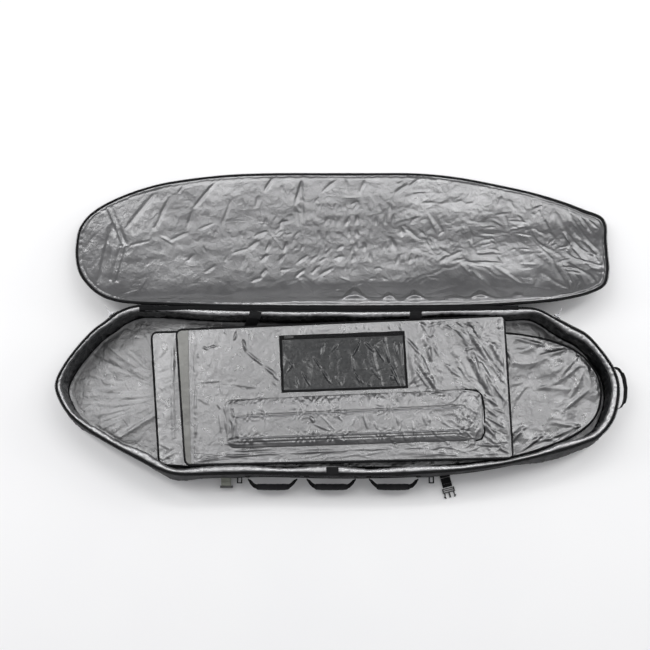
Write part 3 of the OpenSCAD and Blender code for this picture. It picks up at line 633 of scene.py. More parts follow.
DIV_A = [
    (-379, -50, -365, -101, 7, 3.4, 0.3), (-366, -98, -296, -159, 8, 3.0, 0.4), 
    (-296, -159, -245, -203, 10, 3.2, 0.3), (-400, -12, -412, -54, 7, 2.2), 
    (-264, -194, -237, -217, 7, 2.4), (-269, -211, -248, -239, 7, 1.6), (-276, -17, -280, 9, 4, 1.8), 
    (-231, -16, -233, 7, 4, 2.2), (-219, -16, -215, 6, 4, 2.2), (-298, -8, -294, 9, 4, 1.4), 
    (-259, -32, -226, -10, 5, 1.6), (68, -26, 58, 2, 6, 2.6), (96, -25, 91, 7, 6, 2.8), 
    (115, -34, 111, 9, 5, 3.0), (135, -15, 133, 12, 4, 2.2), (167, -41, 161, 7, 6, 3.0), 
    (198, -37, 183, 6, 6, 3.2, 0.3), (209, -31, 202, 7, 4, 2.4), (239, -35, 226, 7, 6, 3.2, 0.3), 
    (260, -67, 229, -18, 6, 3.0, 0.3), (255, -67, 306, -136, 9, 4.2, 0.4), 
    (306, -136, 337, -216, 9, 4.6, 0.4), (276, -85, 288, -169, 8, 2.6), 
    (286, -192, 329, -263, 9, 3.6, 0.4), (313, -1, 348, -70, 12, 3.6, 0.4), 
    (341, -110, 343, -166, 10, 3.6), (259, -191, 255, -257, 9, 2.0), (250, -257, 285, -214, 10, 2.2), 
    (-320, -242, -429, -221, 10, 1.2), (-422, -291, -332, -286, 8, 2.2, 0.5), 
    (-332, -288, -307, -280, 7, 2.2), (-420, -321, -415, -349, 5, 3.4), (-419, -348, -420, -425, 5, 3.0), 
    (-133, -315, -139, -342, 6, 2.6), (-116, -313, -107, -285, 6, 2.8, 0.3), 
    (-103, -310, -85, -286, 5, 2.8, 0.3), (-81, -317, -72, -290, 5, 2.6), 
    (-48, -321, -64, -287, 5, 2.8, 0.3), (-13, -316, -13, -292, 5, 2.0), (-34, -305, -25, -287, 4, 1.8), 
    (100, -329, 103, -293, 5, 2.8), (120, -307, 124, -286, 4, 2.2), (213, -327, 207, -302, 5, 2.6), 
    (234, -306, 229, -287, 4, 2.0), (249, -331, 258, -310, 5, 2.6), (275, -307, 273, -288, 5, 2.2), 
    (296, -311, 296, -289, 5, 2.4), (313, -309, 317, -287, 4, 2.0), 
    (-126, -359, -111, -387, 11, 5.0, 0.4), (-114, -389, -49, -419, 9, 3.2, 0.3), 
    (-83, -360, -30, -420, 5, 2.0), (-28, -351, -2, -385, 7, 2.6), (76, -355, 92, -419, 7, 4.6, -0.3), 
    (97, -350, 92, -448, 3, 1.6), (48, -365, 30, -403, 7, 1.6), (113, -384, 127, -417, 7, 1.8), 
    (203, -365, 209, -409, 9, 3.6, 0.3), (219, -377, 206, -474, 6, 2.6), 
    (259, -389, 271, -471, 8, 3.4, 0.3), (299, -363, 313, -413, 7, 3.4, 0.4), 
    (320, -369, 329, -403, 6, 2.6), (219, -426, 239, -473, 8, 4.0, 0.3), 
    (174, -457, 198, -474, 9, 4.0, 0.3), (243, -448, 244, -470, 6, 2.2), (295, -434, 304, -461, 7, 2.6), 
    (-128, -427, -107, -422, 7, 3.2), (-58, -435, -36, -425, 5, 2.4), (1, -440, 24, -419, 6, 2.8), 
    (34, -438, 29, -419, 4, 1.8), (-172, -444, -166, -426, 4, 2.0), (-108, -452, -85, -431, 6, 2.2), 
    (-29, -466, -26, -436, 5, 3.0), (-59, -459, -42, -444, 4, 2.0), (0, -464, 12, -446, 5, 2.2), 
    (55, -466, 50, -450, 5, 2.2), (87, -467, 72, -450, 5, 2.2), (-292, -440, -290, -429, 3, 2.0), 
    (-433, -465, -227, -461, 10, -2.2, 0.3), (-433, -481, -271, -476, 8, 2.4), 
    (-227, -469, 16, -479, 12, -2.6, 0.4), (-217, -497, 16, -492, 10, 3.4, 0.5), 
    (16, -492, 194, -493, 8, 3.0, 0.4), (-433, -500, -217, -494, 9, 3.0, 0.4), 
    (0, -479, 16, -473, 5, -2), (26, -497, 324, -497, 10, -2.4, 0.4), (189, -492, 324, -495, 6, 2.4)]
DIV_B = [
    (361, 0, 354, -71, 10, 3.8, 0.3), (356, -88, 377, -145, 10, 4.0, 0.3), 
    (382, -72, 386, -145, 9, -3.2), (368, -15, 413, -10, 7, 2.2), (413, -10, 476, -86, 6, -3.4, 0.4), 
    (404, -24, 450, -46, 8, 2.4), (476, -92, 563, -179, 7, 1.8), (496, -13, 531, -83, 12, 3.6, -0.4), 
    (493, -27, 522, -48, 10, 2.4), (530, -85, 574, -174, 9, -3.4, 0.5), 
    (538, -94, 616, -209, 8, 2.6, -0.3), (574, -174, 635, -249, 6, -3.6, 0.5), 
    (579, -185, 630, -271, 6, 2.4), (478, -123, 512, -116, 10, 3.0), (482, -143, 513, -177, 12, 2.6), 
    (511, -121, 530, -256, 9, 5.0, 0.4), (496, -110, 526, -144, 9, -2.6), 
    (538, -173, 574, -257, 10, 3.6, 0.4), (549, -223, 577, -296, 10, -3.4, 0.4), 
    (574, -257, 628, -337, 9, 2.6, 0.3), (535, -300, 595, -346, 12, 3.6, 0.3), 
    (576, -224, 593, -291, 8, 3.0, -0.3), (607, -175, 607, -259, 7, 2.6), 
    (607, -248, 630, -271, 6, -3.0), (631, -1, 621, -226, 5, 4.0), (616, -12, 624, -97, 7, 2.2), 
    (392, -167, 450, -225, 14, 2.8, 0.4), (399, -240, 440, -286, 7, 2.4, 0.3), 
    (401, -257, 441, -280, 4, -2.6), (443, -158, 472, -221, 12, 2.6), (379, -217, 431, -263, 9, 1.8), 
    (346, -216, 351, -272, 9, 3.2), (457, -192, 470, -243, 7, -2.0), (447, -264, 516, -294, 7, 2.0), 
    (345, -329, 394, -331, 5, -2.0), (394, -331, 469, -353, 5, -2.0, 0.3), 
    (336, -293, 385, -289, 7, 2.4), (367, -316, 374, -295, 5, 2.4), (386, -317, 388, -295, 5, 2.4), 
    (407, -290, 409, -307, 4, 2.0), (433, -352, 434, -423, 5, 4.2, 0.3), (439, -352, 471, -408, 5, -2.4), 
    (440, -374, 492, -408, 6, 2.6), (470, -342, 511, -371, 8, 2.4), (431, -425, 451, -456, 7, 3.4, 0.3), 
    (426, -428, 490, -441, 5, -2.6), (430, -452, 462, -462, 4, 2.6), (463, -440, 499, -474, 4, 2.4), 
    (442, -466, 494, -463, 4, 2.2), (328, -419, 359, -463, 8, 3.6, 0.4), (358, -387, 410, -422, 8, 2.0), 
    (343, -452, 380, -470, 6, -2.4), (540, -345, 592, -390, 10, 2.6, 0.3), 
    (543, -383, 611, -429, 9, 3.4, 0.3), (536, -405, 576, -466, 10, 3.2, 0.3), 
    (546, -427, 620, -457, 7, -2.4), (567, -351, 626, -375, 7, 2.0), (609, -303, 631, -457, 6, 3.0, 0.2), 
    (615, -369, 627, -511, 6, 3.2), (523, -442, 542, -486, 8, -2.4), 
    (525, -333, 525, -453, 6, -6.0, 0.2), (500, -299, 524, -338, 7, -4.0), 
    (525, -453, 492, -495, 7, -4.0), (584, -504, 625, -527, 7, 3.0), (590, -493, 616, -505, 5, 2.4), 
    (578, -515, 606, -494, 5, 2.2), (324, -503, 432, -507, 6, -2.6), (324, -489, 389, -493, 6, 2.0), 
    (389, -492, 474, -522, 7, 2.8, 0.3), (477, -484, 584, -499, 7, 3.0, 0.3), 
    (458, -516, 572, -514, 7, -2.4), (339, -517, 473, -532, 6, 3.0, 0.3), (485, -527, 582, -525, 6, 2.4)]
DIV_C = [
    (-595, -82, -578, -105, 5, 3.4, 0.3), (-570, -71, -562, -150, 4, 3.6), 
    (-560, -83, -561, -161, 4, -3.2), (-592, -115, -579, -149, 4, 2.0), (-585, -183, -580, -293, 5, 2.6), 
    (-563, -183, -562, -354, 3, 3.0), (-563, -370, -562, -419, 4, 4.6), (-588, -149, -581, -216, 5, 1.8), 
    (-548, -117, -554, -100, 5, 2.8), (-537, -72, -509, -85, 7, 2.0), (-509, -79, -470, -69, 6, 2.0), 
    (-591, -14, -564, -9, 4, 1.8), (-478, -29, -483, -69, 5, 2.6), (-470, -24, -467, -58, 5, 1.6), 
    (-450, -13, -442, -25, 5, 2.6), (-481, -7, -450, -11, 4, 2.0), (-398, -15, -409, -54, 6, 2.2), 
    (-376, -50, -363, -95, 7, 3.4, 0.3), (-558, -10, -562, -83, 6, 1.4), 
    (-549, -212, -461, -209, 8, 1.4), (-555, -272, -507, -301, 8, 1.4, 0.3), 
    (-479, -297, -466, -319, 5, 3.2), (-472, -336, -465, -412, 6, 3.2, 0.3), 
    (-475, -357, -470, -423, 5, -2.0), (-490, -263, -468, -259, 5, 1.6), 
    (-467, -209, -460, -287, 6, 1.6), (-466, -131, -461, -187, 9, 1.0), 
    (-455, -298, -447, -342, 6, 3.8, 0.3), (-452, -342, -443, -407, 6, 3.4, 0.3), 
    (-428, -310, -415, -354, 6, 3.4, 0.4), (-415, -359, -421, -408, 5, 3.0), 
    (-447, -304, -353, -290, 6, 2.2), (-465, -445, -356, -427, 7, -3.0, 0.3), 
    (-457, -450, -368, -459, 8, 2.4), (-457, -461, -444, -478, 6, -2.2), 
    (-552, -517, -466, -501, 8, 2.8, 0.4), (-574, -532, -520, -507, 9, 2.4, 0.4), 
    (-471, -498, -358, -500, 7, 2.6, 0.3), (-466, -477, -358, -489, 6, -2.0)]
DIV_D = [
    (259, -93, 291, -259, 20, 6, 0.3), (282, -138, 365, -278, 18, 5.5, 0.3), (325, -43, 352, -165, 19, 6, 0.2),
    (381, -13, 418, -135, 24, -4, 0.2), (449, -16, 500, -114, 20, 4, 0.3), (483, -25, 577, -173, 22, 6.5, 0.4),
    (487, -118, 551, -277, 24, 7.5, 0.5), (533, -171, 577, -350, 22, 6, 0.4), (382, -190, 440, -305, 30, -4.5, 0.3),
    (575, -85, 631, -199, 18, 5.5, 0.4), (509, -380, 599, -495, 20, 5, 0.4), (571, -285, 630, -384, 18, -4.5, 0.3),
    (436, -377, 495, -484, 20, 4.5, 0.3), (529, -445, 621, -528, 16, 4, 0.3), (312, -292, 438, -345, 16, -3, 0.2)]
FILM = [
    (77, -72, 44, -133, 7, 3.4, 0.4), (44, -133, 50, -194, 6, 3.0, 0.3), 
    (50, -194, 70, -239, 6, 3.2, 0.3), (163, -69, 186, -166, 10, 4.6, 0.4), 
    (186, -166, 220, -256, 9, 4.6, 0.4), (186, -210, 202, -233, 14, 2.8), 
    (93, -78, 130, -119, 9, 2.4, 0.3), (131, -91, 167, -159, 8, 2.6, 0.3), 
    (-107, -127, -76, -179, 6, 2.4, 0.3), (-76, -179, -43, -238, 8, 3.2, 0.4), 
    (-153, -181, -122, -244, 6, 2.8, 0.4), (-201, -135, -181, -175, 7, 2.0), 
    (-208, -185, -185, -152, 6, 1.6), (-176, -197, -166, -236, 6, 1.6), (-41, -113, -6, -80, 7, 1.4), 
    (97, -235, 110, -257, 7, 2.2), (81, -240, 66, -206, 6, 1.8), (210, -77, 218, -133, 8, 2.2), 
    (237, -83, 238, -179, 5, 2.2), (111, -174, 152, -231, 9, 1.6), (-22, -203, -2, -248, 9, 1.4), 
    (-61, -73, -74, -123, 8, 1.2)]

# ---------------------------------------------------------------- the lid

TH = math.radians(194.8)
CT, ST = math.cos(TH), math.sin(TH)


def opened(V):
    """From the closed lid's place to where it rests open."""
    V = np.asarray(V, float)
    dy, dz = V[:, 1] - 325, V[:, 2] - 173
    return np.stack([V[:, 0], 325 + dy * CT + dz * ST, 173 - dy * ST + dz * CT], 1)


def place(o, fn):
    """Moves a new mesh's points by a function of their places in mm."""
    co = np.zeros(len(o.data.vertices) * 3, np.float32)
    o.data.vertices.foreach_get("co", co)
    V = fn(co.reshape(-1, 3).astype(float) / MM) * MM
    o.data.vertices.foreach_set("co", V.astype(np.float32).ravel())
    o.data.update()
    return o


def add(o, body, slot, *nodes):
    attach(o, body)
    if nodes:
        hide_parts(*nodes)
    return o


def flat3(P, z):
    return np.c_[P, np.full(len(P), float(z))]


RIM = cr_closed(RIM_CTL, 6)
LID = cr_closed(LID_CTL, 6)
_l = cr_closed(LID_CTL, 12)
_a = np.arctan2(_l[:, 1], _l[:, 0])
_o = np.argsort(_a)
_ang, _rad = _a[_o], np.hypot(_l[:, 0], _l[:, 1])[_o]


def dome(x, y):
    s = np.clip(np.hypot(x, y) / np.interp(np.arctan2(y, x), _ang, _rad, period=2 * math.pi), 0, 1)
    return 38 * (1 - s ** 4) * (1 + 0.6 * y / 318)


def lid_folds(x, v):
    """Height of the lining's folds, v being the distance from the hinge line."""
    h = 1.25 * (strokes(x, v, LID_A) + strokes(x, v, LID_B) + strokes(x, v, LID_C))
    rows = bell((v + 14 * np.sin(x / 90.0)) % 76, 38, 20)
    wav = np.sin(x / 5.6 + 2.2 * waves(x, v, 60, 4))
    mid = sstep(-420, -200, x) * (1 - sstep(250, 420, x)) * sstep(200, 240, v) * (1 - sstep(540, 590, v))
    h += 0.55 * mid * rows * wav * (0.5 + 0.5 * waves(x, v, 110, 5))
    right = sstep(150, 330, x)
    up = sstep(170, 260, v)
    h += (0.4 + 0.9 * right) * up * (crumple(x, v, 21, 52) * 1.1)
    h += right * up * 0.6 * (line_field(x, v, 31, 30, 0.2, 2.4) - 0.6) * (1 - sstep(800, 900, x))
    h += (0.8 + 1.6 * right) * up * waves(x, v, 105, 47)
    h += 0.8 * waves(x, v, 150, 41) + 0.35 * waves(x, v, 34, 42)
    h += sstep(700, 860, x) * 3.4 * (line_field(x, v, 33, 34, math.radians(-58), 3.4) - 0.55)
    h += (1 - sstep(-700, -500, x)) * 0.5 * (line_field(x, v, 36, 26, math.radians(68), 4) - 0.6)
    for (x0, v0, x1, v1) in ((-934, 462, -859, 294), (-859, 294, -884, 128)):
        L = math.hypot(x1 - x0, v1 - v0)
        ux, uv = (x1 - x0) / L, (v1 - v0) / L
        t = ((x - x0) * ux + (v - v0) * uv) / L
        d = np.abs(-(x - x0) * uv + (v - v0) * ux)
        on = (t > 0) & (t < 1)
        h += -4.6 * np.clip(1 - d / 5.5, 0, 1) * on + 2.6 * bell(d, 11, 7) * on
    edge = np.interp(x, [-700, -450, -300, -142, -63, 56, 254, 426, 519, 690, 810, 916],
                     [60, 84, 104, 156, 112, 130, 124, 204, 224, 150, 84, 64]) + 7 * waves(x, 0 * v, 60, 61)
    top = 44.0
    ramp_h = 17.0 * (0.35 + 0.65 * sstep(-330, -120, x)) * (1 - 0.6 * sstep(720, 880, x)) * sstep(-820, -640, x)
    h += ramp_h * np.where(v > top, np.clip((edge - v) / np.maximum(edge - top, 20), 0, 1), 0.35 + 0.65 * np.clip(v / top, 0, 1))
    h += 1.8 * bell(v, edge, 7) * sstep(-330, -120, x)
    amp = 0.3 + 0.7 * np.maximum.reduce([bell(x, 62, 62), bell(x, 205, 45), bell(x, 300, 50), bell(x, 530, 60),
                                            bell(x, 640, 70), bell(x, 760, 90)])
    peaks = 26 + 44 * np.maximum.reduce([bell(x, 66, 34), 0.5 * bell(x, 200, 20), 0.62 * bell(x, 300, 30),
                                          0.6 * bell(x, 560, 34), 0.3 * bell(x, 450, 30), 0.35 * bell(x, 700, 30)])
    band = 1 - sstep(0.55, 1.0, v / peaks)
    h += 0.85 * amp * sstep(-700, -300, x) * dome(x, 325 - v) * (1 - sstep(0.7, 2.0, v / peaks))
    h += band * amp * (9.0 * (crumple(x, v, 71, 38, 4) + 0.15) + 5.0 * (1 - v / peaks).clip(0, 1))
    h += 2.2 * bell(v, peaks, 6) * amp
    return h


def lid_z(x, y, d):
    """Where the lining lies over the closed lid's rim plane: bumps point into the bag."""
    fade = sstep(3, 26, d)
    h = lid_folds(x, 325 - y)
    nick = sstep(6, 14, d) * (1 - sstep(14, 26, d)) * 0.9 * np.sin((x + y) / 6.5 + 3 * waves(x, y, 60, 8))
    gut = -3.8 * bell(d, 11, 4.5) + 3.0 * bell(d, 20, 6)
    return 173 + dome(x, y) - (h * fade + nick + gut * (0.35 + 0.9 * sstep(780, 960, x)))


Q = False
NU, NV = (300, 100) if Q else (460, 150)
L12 = resample(LID, 1200)
G = coons(L12 + inward(L12) * 3.0, [(-985, -108), (1055, -95), (1060, 195), (-985, 214)], NU, NV)
X, Y = G[..., 0], G[..., 1]
d = dist_to(X, Y, LID)
zo = 182.0 + dome(X, Y) + sstep(4, 60, d) * (2.0 * crumple(X, Y, 91, 120, 2) + 0.8 * waves(X, Y, 90, 92))
zt = np.minimum(np.maximum(lid_z(X, Y, d), 171.9 - 34 * sstep(33, 52, d)), zo - 2.0)
lid = pad("lid_padded_panel", G, zo, zt, [M_BLACK, M_BLACK, M_SILVER], opened, 1, 2)
add(lid, "lid", "silver_lining", "lid_skin", "lid_foam", "lid_lining")

P = resample(LID, 700)
P = P + inward(P) * 3.2
o = piping("lid_bound_edge", flat3(P, 179.0), 5.2, 5.8, M_BIND, ripple=0.035, p=3.0)
add(place(o, opened), "lid", "binding", "lid_binding")
P = resample(LID, 900)
o = stitches("lid_edge_stitching", flat3(P + inward(P) * 6.6, 173.6), M_THREAD)
add(place(o, opened), "lid", "binding")


def part_path(P, a, b, n):
    """A closed outline's stretch between the points nearest a and b, in its order."""
    P = resample(P, 2000)
    i = int(np.argmin(((P - np.array(a)) ** 2).sum(1)))
    j = int(np.argmin(((P - np.array(b)) ** 2).sum(1)))
    if j <= i:
        j += len(P)
    return resample(P[np.arange(i, j + 1) % len(P)], n, False)


# zip tape and coil round the lid's free edge
Z = part_path(LID, (-872, 289), (860, 287), 520)
o = ribbon("lid_zip_tape_strip", flat3(Z - inward_open(Z) * 0.9, 177.5), 9.5, 1.3, M_WEB, side=(0, 0, 1))
add(place(o, opened), "lid", "webbing", "lid_zip_tape")
o = coil("lid_zip_teeth", flat3(Z - inward_open(Z) * 3.1, 174.2), 1.35, 3.2, 0.62, M_COIL)
add(place(o, opened), "lid", "coil", "lid_zip_coil")

# straps sewn over the lid's outer face
for i, x in enumerate((-430, 430)):
    ys = np.linspace(240, -30, 60)
    zs = 182.0 + 2.6 + dome(np.full(60, x), ys)
    o = ribbon("lid_strap_%d" % (i + 1), np.c_[np.full(60, x), ys, zs], 38, 2.0, M_WEB, side=(1, 0, 0))
    add(place(o, opened), "lid", "webbing", *(["lid_straps"] if i == 0 else []))
    yb = np.r_[np.linspace(230, 196, 12)]
    for k, (ya, yc) in enumerate(((236, 206), (206, 236))):
        xs = np.linspace(x - 14, x + 14, 12)
        yy = np.linspace(ya, yc, 12)
        o = stitches("lid_strap_%d_box_%d" % (i + 1, k + 1), np.c_[xs, yy, 182 + 3.8 + dome(xs, yy)], M_THREAD_S, 4.0, 3.0, closed=False)
        add(place(o, opened), "lid", "webbing")
for n in ("female_buckles",):
    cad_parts[n].data.materials.clear()
    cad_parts[n].data.materials.append(M_BUCKLE)

# ---------------------------------------------------------------- the tub

NS = 620 if Q else 960
R = resample(RIM, NS)
IN = inward(R)
ARC = np.linspace(0, 1, NS, endpoint=False)
rx, ry = R[:, 0], R[:, 1]
front = (ry < 0).astype(float)
front_s = sstep(-60, -200, ry) if False else 1 - sstep(-200, -60, ry)
nose = 1 - sstep(-960, -700, rx)
tail = sstep(640, 860, rx)
deep = 1 - 0.45 * sstep(520, 640, rx) * front_s * (1 - sstep(760, 860, rx))


def around(size, seed, k=1.0):
    """Smooth noise along the rim."""
    a = ARC * 2 * math.pi
    r = 5300 / (2 * math.pi)
    return waves(r * np.cos(a) * k, r * np.sin(a) * k, size, seed)


# outer wall: bulges a little between rim and floor, more at the front corners
bul = 5 + 3 * around(160, 5) + 9 * bell(rx, -620, 110) * front_s + 8 * bell(rx, 820, 160) * front_s + 5 * nose + 6 * tail
OUT = [(9, 0.4, 0), (3, 0.6, 0.0), (0, 3, 0.1), (0, 14, 0.5), (0, 32, 0.85), (0, 55, 1.0), (0, 80, 0.95), (0, 105, 0.75),
       (0, 128, 0.5), (0, 148, 0.22), (0, 162, 0.05), (1.5, 167, 0), (4.5, 168.5, 0), (5.5, 166, 0)]
rings = []
for (dd, z, w) in OUT:
    zz = np.full(NS, float(z))
    cr = crumple(ARC * 5300, zz, 55, 60) * 3.0 * math.sin(math.pi * min(1, z / 168.0)) if 3 < z < 160 else 0
    lf = 2.4 * (line_field(ARC * 5300, zz, 57, 34, math.radians(70), 2.5) - 0.5) * math.sin(math.pi * min(1, z / 168.0)) if 3 < z < 160 else 0
    off = dd - bul * w - cr - lf
    rings.append(np.c_[R + IN * np.asarray(off)[..., None] if np.ndim(off) else R + IN * off, zz])
# back down inside the wall, and across the floor
for (dd, z) in ((6, 150), (6, 90), (6, 30), (8, 6)):
    rings.append(np.c_[R + IN * dd, np.full(NS, float(z))])
nr = len(rings)
V = np.concatenate(rings)
F = grid_faces(nr, NS, wrap_c=True)


def spine(P):
    return np.c_[np.clip(P[:, 0], -640, 820), np.full(len(P), 10.0)]


def floor_rings(first, ks, z_of):
    """Rings from a wall's foot in to the floor's centre line."""
    out = []
    C = spine(first[:, :2])
    for k in ks:
        P = first[:, :2] * (1 - k) + C * k
        out.append(np.c_[P, z_of(P, k)])
    return out


under = floor_rings(rings[0], (0.06, 0.2, 0.45, 0.75, 0.995), lambda P, k: np.full(len(P), 0.4))
over = floor_rings(rings[-1], (0.05, 0.2, 0.45, 0.75, 0.995), lambda P, k: np.full(len(P), 4.0))
allr = under[::-1] + rings + over
V = np.concatenate(allr)
n_all = len(allr)
F = grid_faces(n_all, NS, wrap_c=True)
F += [[(n_all - 1) * NS + i, (n_all - 1) * NS + (i + 1) % NS, (i + 1) % NS, i] for i in range(NS)]
shell = build("tub_outer_shell", V, F, M_BLACK)
add(shell, "tub", "black_shell", "floor_skin", "gusset_front_skin", "gusset_back_skin")

# lining: rolled padded edge at the rim, gusset wall, floor
w_roll = (24 + 3 * around(120, 9)) * (0.82 + 0.18 * front_s) * deep
w_roll = w_roll * (1 - 0.35 * nose * (1 - front_s))
PR = [(0.20, 166.5, 0), (0.26, 168.8, 0.25), (0.48, 169.6, 0.6), (0.74, 169.3, 0.9), (0.98, 167.6, 1.0), (1.16, 163.0, 0.9),
      (1.16, 154.0, 0.7), (1.08, 138.0, 0.5), (1.04, 120.0, 0.6), (1.0, 98.0, 0.8), (0.92, 74.0, 0.9), (0.82, 50.0, 0.8), (0.70, 30.0, 0.6), (0.62, 17.0, 0.3), (0.9, 13.0, 0.1)]
lr = []
s5 = ARC * 5300
for j, (f, z, w) in enumerate(PR):
    zz = np.full(NS, float(z))
    on_roll = z > 145
    n1 = (ridges(s5, zz * 0.6 + 40, 26, 61, 0.6) - 0.5) * (3.8 if on_roll else 0)
    n2 = crumple(s5, zz * (0.8 if on_roll else 1.0), 63, 38 if on_roll else 70) * (3.6 if on_roll else 9.0)
    n3 = (line_field(s5, zz, 65, 40, math.radians(64), 3) - 0.5) * (0 if on_roll else 6.0)
    off = w_roll * f + 3.0 * (1 - f) - (n1 * 0.5 + n2 + n3) * w
    zz = zz + (n1 + 0.6 * n2) * w * (1 if on_roll else 0.2)
    off = np.maximum(off, 6.5)
    lr.append(np.c_[R + IN * off[:, None], np.minimum(zz, 171.4)])


def floor_z(P, k):
    x, y = P[:, 0], P[:, 1]
    base = 12.6 + (1.6 + 3 * (1 - k)) * crumple(x, y, 81, 90) + 1.5 * waves(x, y, 160, 82)
    st = strokes(x, y, [(-900, -120, -760, 120, 16, 4, 0.3), (-980, 40, -820, 150, 12, 3.4, 0.3), (-860, -160, -700, -60, 14, 3.6),
                        (-800, 60, -690, 190, 12, 3), (-1000, -20, -900, 60, 10, 2.6), (-760, -240, -700, -120, 9, 3)])
    return np.maximum(base + st, 10.5)


fr = floor_rings(lr[-1], (0.04, 0.09, 0.15, 0.22, 0.30, 0.38, 0.46, 0.54, 0.62, 0.70, 0.78, 0.86, 0.93, 0.9995), floor_z)
back = [np.c_[R + IN * 6.3, np.full(NS, 160.0)], np.c_[R + IN * 6.3, np.full(NS, 60.0)], np.c_[R + IN * 8.5, np.full(NS, 5.5)]]
hid = floor_rings(back[-1], (0.1, 0.4, 0.8, 0.995), lambda P, k: np.full(len(P), 5.5))
loop = hid[::-1] + back[::-1] + lr + fr
V = np.concatenate(loop)
nl = len(loop)
F = grid_faces(nl, NS, wrap_c=True)
F += [[(nl - 1) * NS + i, (nl - 1) * NS + (i + 1) % NS, (i + 1) % NS, i] for i in range(NS)]
# Material slots: the rolled rim rings take the brighter copy of the silver (painted light), the gusset wall below takes
# the dark copy (painted shade), and the floor takes the tub silver.
fm = np.zeros(len(F), int)
r0 = len(hid) + len(back)
for j in range(nl):
    m = 0
    if r0 <= j < r0 + 6:
        m = 2
    if r0 + 6 <= j < r0 + len(lr) - 1:
        m = 1
    fm[j * NS:(j + 1) * NS] = m
lining = build("tub_padded_lining", V, F, [M_SILVER_T, M_GUSSET_PAINTED_SHADE, M_ROLL_PAINTED_LIGHT], fm)
add(lining, "tub", "silver_lining", "gusset_front_foam", "gusset_back_foam", "gusset_front_lining", "gusset_back_lining",
    "floor_foam_pad", "floor_lining")

P = resample(RIM, 800)
o = piping("tub_rim_binding", flat3(P + inward(P) * 2.6, 167.9), 3.9, 4.1, M_BIND, p=2.6, ripple=0.04)
add(o, "tub", "binding", "rim_binding")
o = stitches("tub_rim_stitching", flat3(P + inward(P) * 5.2, 170.9), M_THREAD)
add(o, "tub", "binding")
# seams low on the gusset and where it meets the floor
o = piping("tub_floor_seam", flat3(resample(R + IN * (w_roll * 0.62 + 3.0)[:, None], 500), 15.5), 2.6, 2.6, M_BIND)
add(o, "tub", "binding")
o = piping("tub_foot_piping", flat3(resample(RIM, 700) - inward(resample(RIM, 700)) * 0.6, 5.0), 2.6, 2.6, M_BIND)
add(o, "tub", "binding")

Z = part_path(RIM, (-850, 312), (840, 288), 560)
o = ribbon("tub_zip_tape_strip", flat3(Z - inward_open(Z) * 0.95, 160.5), 17.0, 1.4, M_WEB, side=(0, 0, 1))
add(o, "tub", "webbing", "tub_zip_tape")
o = coil("tub_zip_teeth", flat3(Z - inward_open(Z) * 3.2, 166.8), 1.35, 3.2, 0.62, M_COIL)
add(o, "tub", "coil", "tub_zip_coil")

# webbing that carries the loops along the front wall
Wp = part_path(RIM, (-416, -313), (352, -309), 140)
o = ribbon("handle_webbing_strip", flat3(Wp - inward_open(Wp) * 1.6, 95), 28, 2.2, M_WEB, side=(0, 0, 1))
add(o, "tub", "webbing", "handle_webbing_run")
for z in (84.5, 105.5):
    o = stitches("handle_webbing_stitching_%d" % int(z), flat3(Wp - inward_open(Wp) * 2.9, z), M_THREAD_S, up=None, closed=False)
    add(o, "tub", "webbing")

# hinge strip between the tub's back rim and the lid
xs = np.linspace(-770, 700, 260)
ys_t = np.interp(xs, *[np.array(v) for v in zip(*[(p[0], p[1]) for p in sorted(resample(RIM, 1500)[resample(RIM, 1500)[:, 1] > 250].tolist())])])
prof = [(-9, -12.0), (-4.5, -5.0), (-1.5, -1.2), (1.5, 0.8), (5.0, 0.6), (9.0, -0.6), (13.0, -2.2)]
rows = []
for k, (a, b) in enumerate(prof):
    rip = 1.2 * waves(xs, 0 * xs + 30 * k, 60, 77)
    rows.append(np.c_[xs, 322.0 + a + 0 * xs, 171.5 + b + rip * (0.5 if 0 < k < 6 else 0)])
top = np.concatenate(rows)
bot = top - np.array([0, 0, 1.6])
nrow, ncol = len(prof), len(xs)
F = grid_faces(nrow, ncol) + grid_faces(nrow, ncol, off=nrow * ncol, flip=True)
e = edge_loop(nrow, ncol)
m = nrow * ncol
F += [[e[i], e[i - 1], e[i - 1] + m, e[i] + m] for i in range(len(e))]
web = build("hinge_fabric_strip", np.vstack([top, bot]), F, M_BIND)
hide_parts("hinge_tape")
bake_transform(web)
o = piping("hinge_rolled_seam", np.c_[xs, np.full(260, 321.0) + 0.8 * waves(xs, 0 * xs, 90, 78), np.full(260, 167.0)], 4.4, 4.0, M_BIND, closed=False)
add(o, "tub", "binding")

# ---------------------------------------------------------------- ties, loops, patch

def tab(name, a, b, w, body, nodes=(), sag=3.0, turn=(1, 0, 0), mat=None):
    a, b = np.array(a, float), np.array(b, float)
    t = np.linspace(0, 1, 22)[:, None]
    P = a + (b - a) * t
    P[:, 2] -= 4 * sag * (t * (1 - t))[:, 0]
    o = ribbon(name, P, w, 2.0, mat or M_WEB, side=turn)
    return add(o, body, "webbing", *nodes)


for nm, pts, nodes in (("left", [(-318, 312, 171.8), (-320, 299, 172.2), (-325, 287, 165), (-354, 254, 81.5)], ["back_tie_tabs"]),
                       ("right", [(302, 312, 171.8), (302, 299, 172.2), (300, 287, 165), (292, 257, 83.5)], [])):
    P = resample(np.array(pts, float), 30, False)
    o = ribbon("back_tie_" + nm, P, 46, 2.0, M_WEB, side=(1, 0, 0))
    if nodes:
        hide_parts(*nodes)
    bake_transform(o)
P = resample(np.array([(-22, -288, 170.6), (-22, -284.5, 150), (-22, -284.5, 116)], float), 24, False)
add(ribbon("front_tie", P, 46, 1.6, M_WEB, side=(1, 0, 0)), "tub", "webbing", "front_tie_tab")
P = resample(np.array([(-22, -316, 171.4), (-22, -302, 171.9), (-22, -287.5, 171.2)], float), 16, False)
add(ribbon("front_tie_fold", P, 46, 1.6, M_WEB, side=(1, 0, 0)), "tub", "webbing")

# ---------------------------------------------------------------- dividers

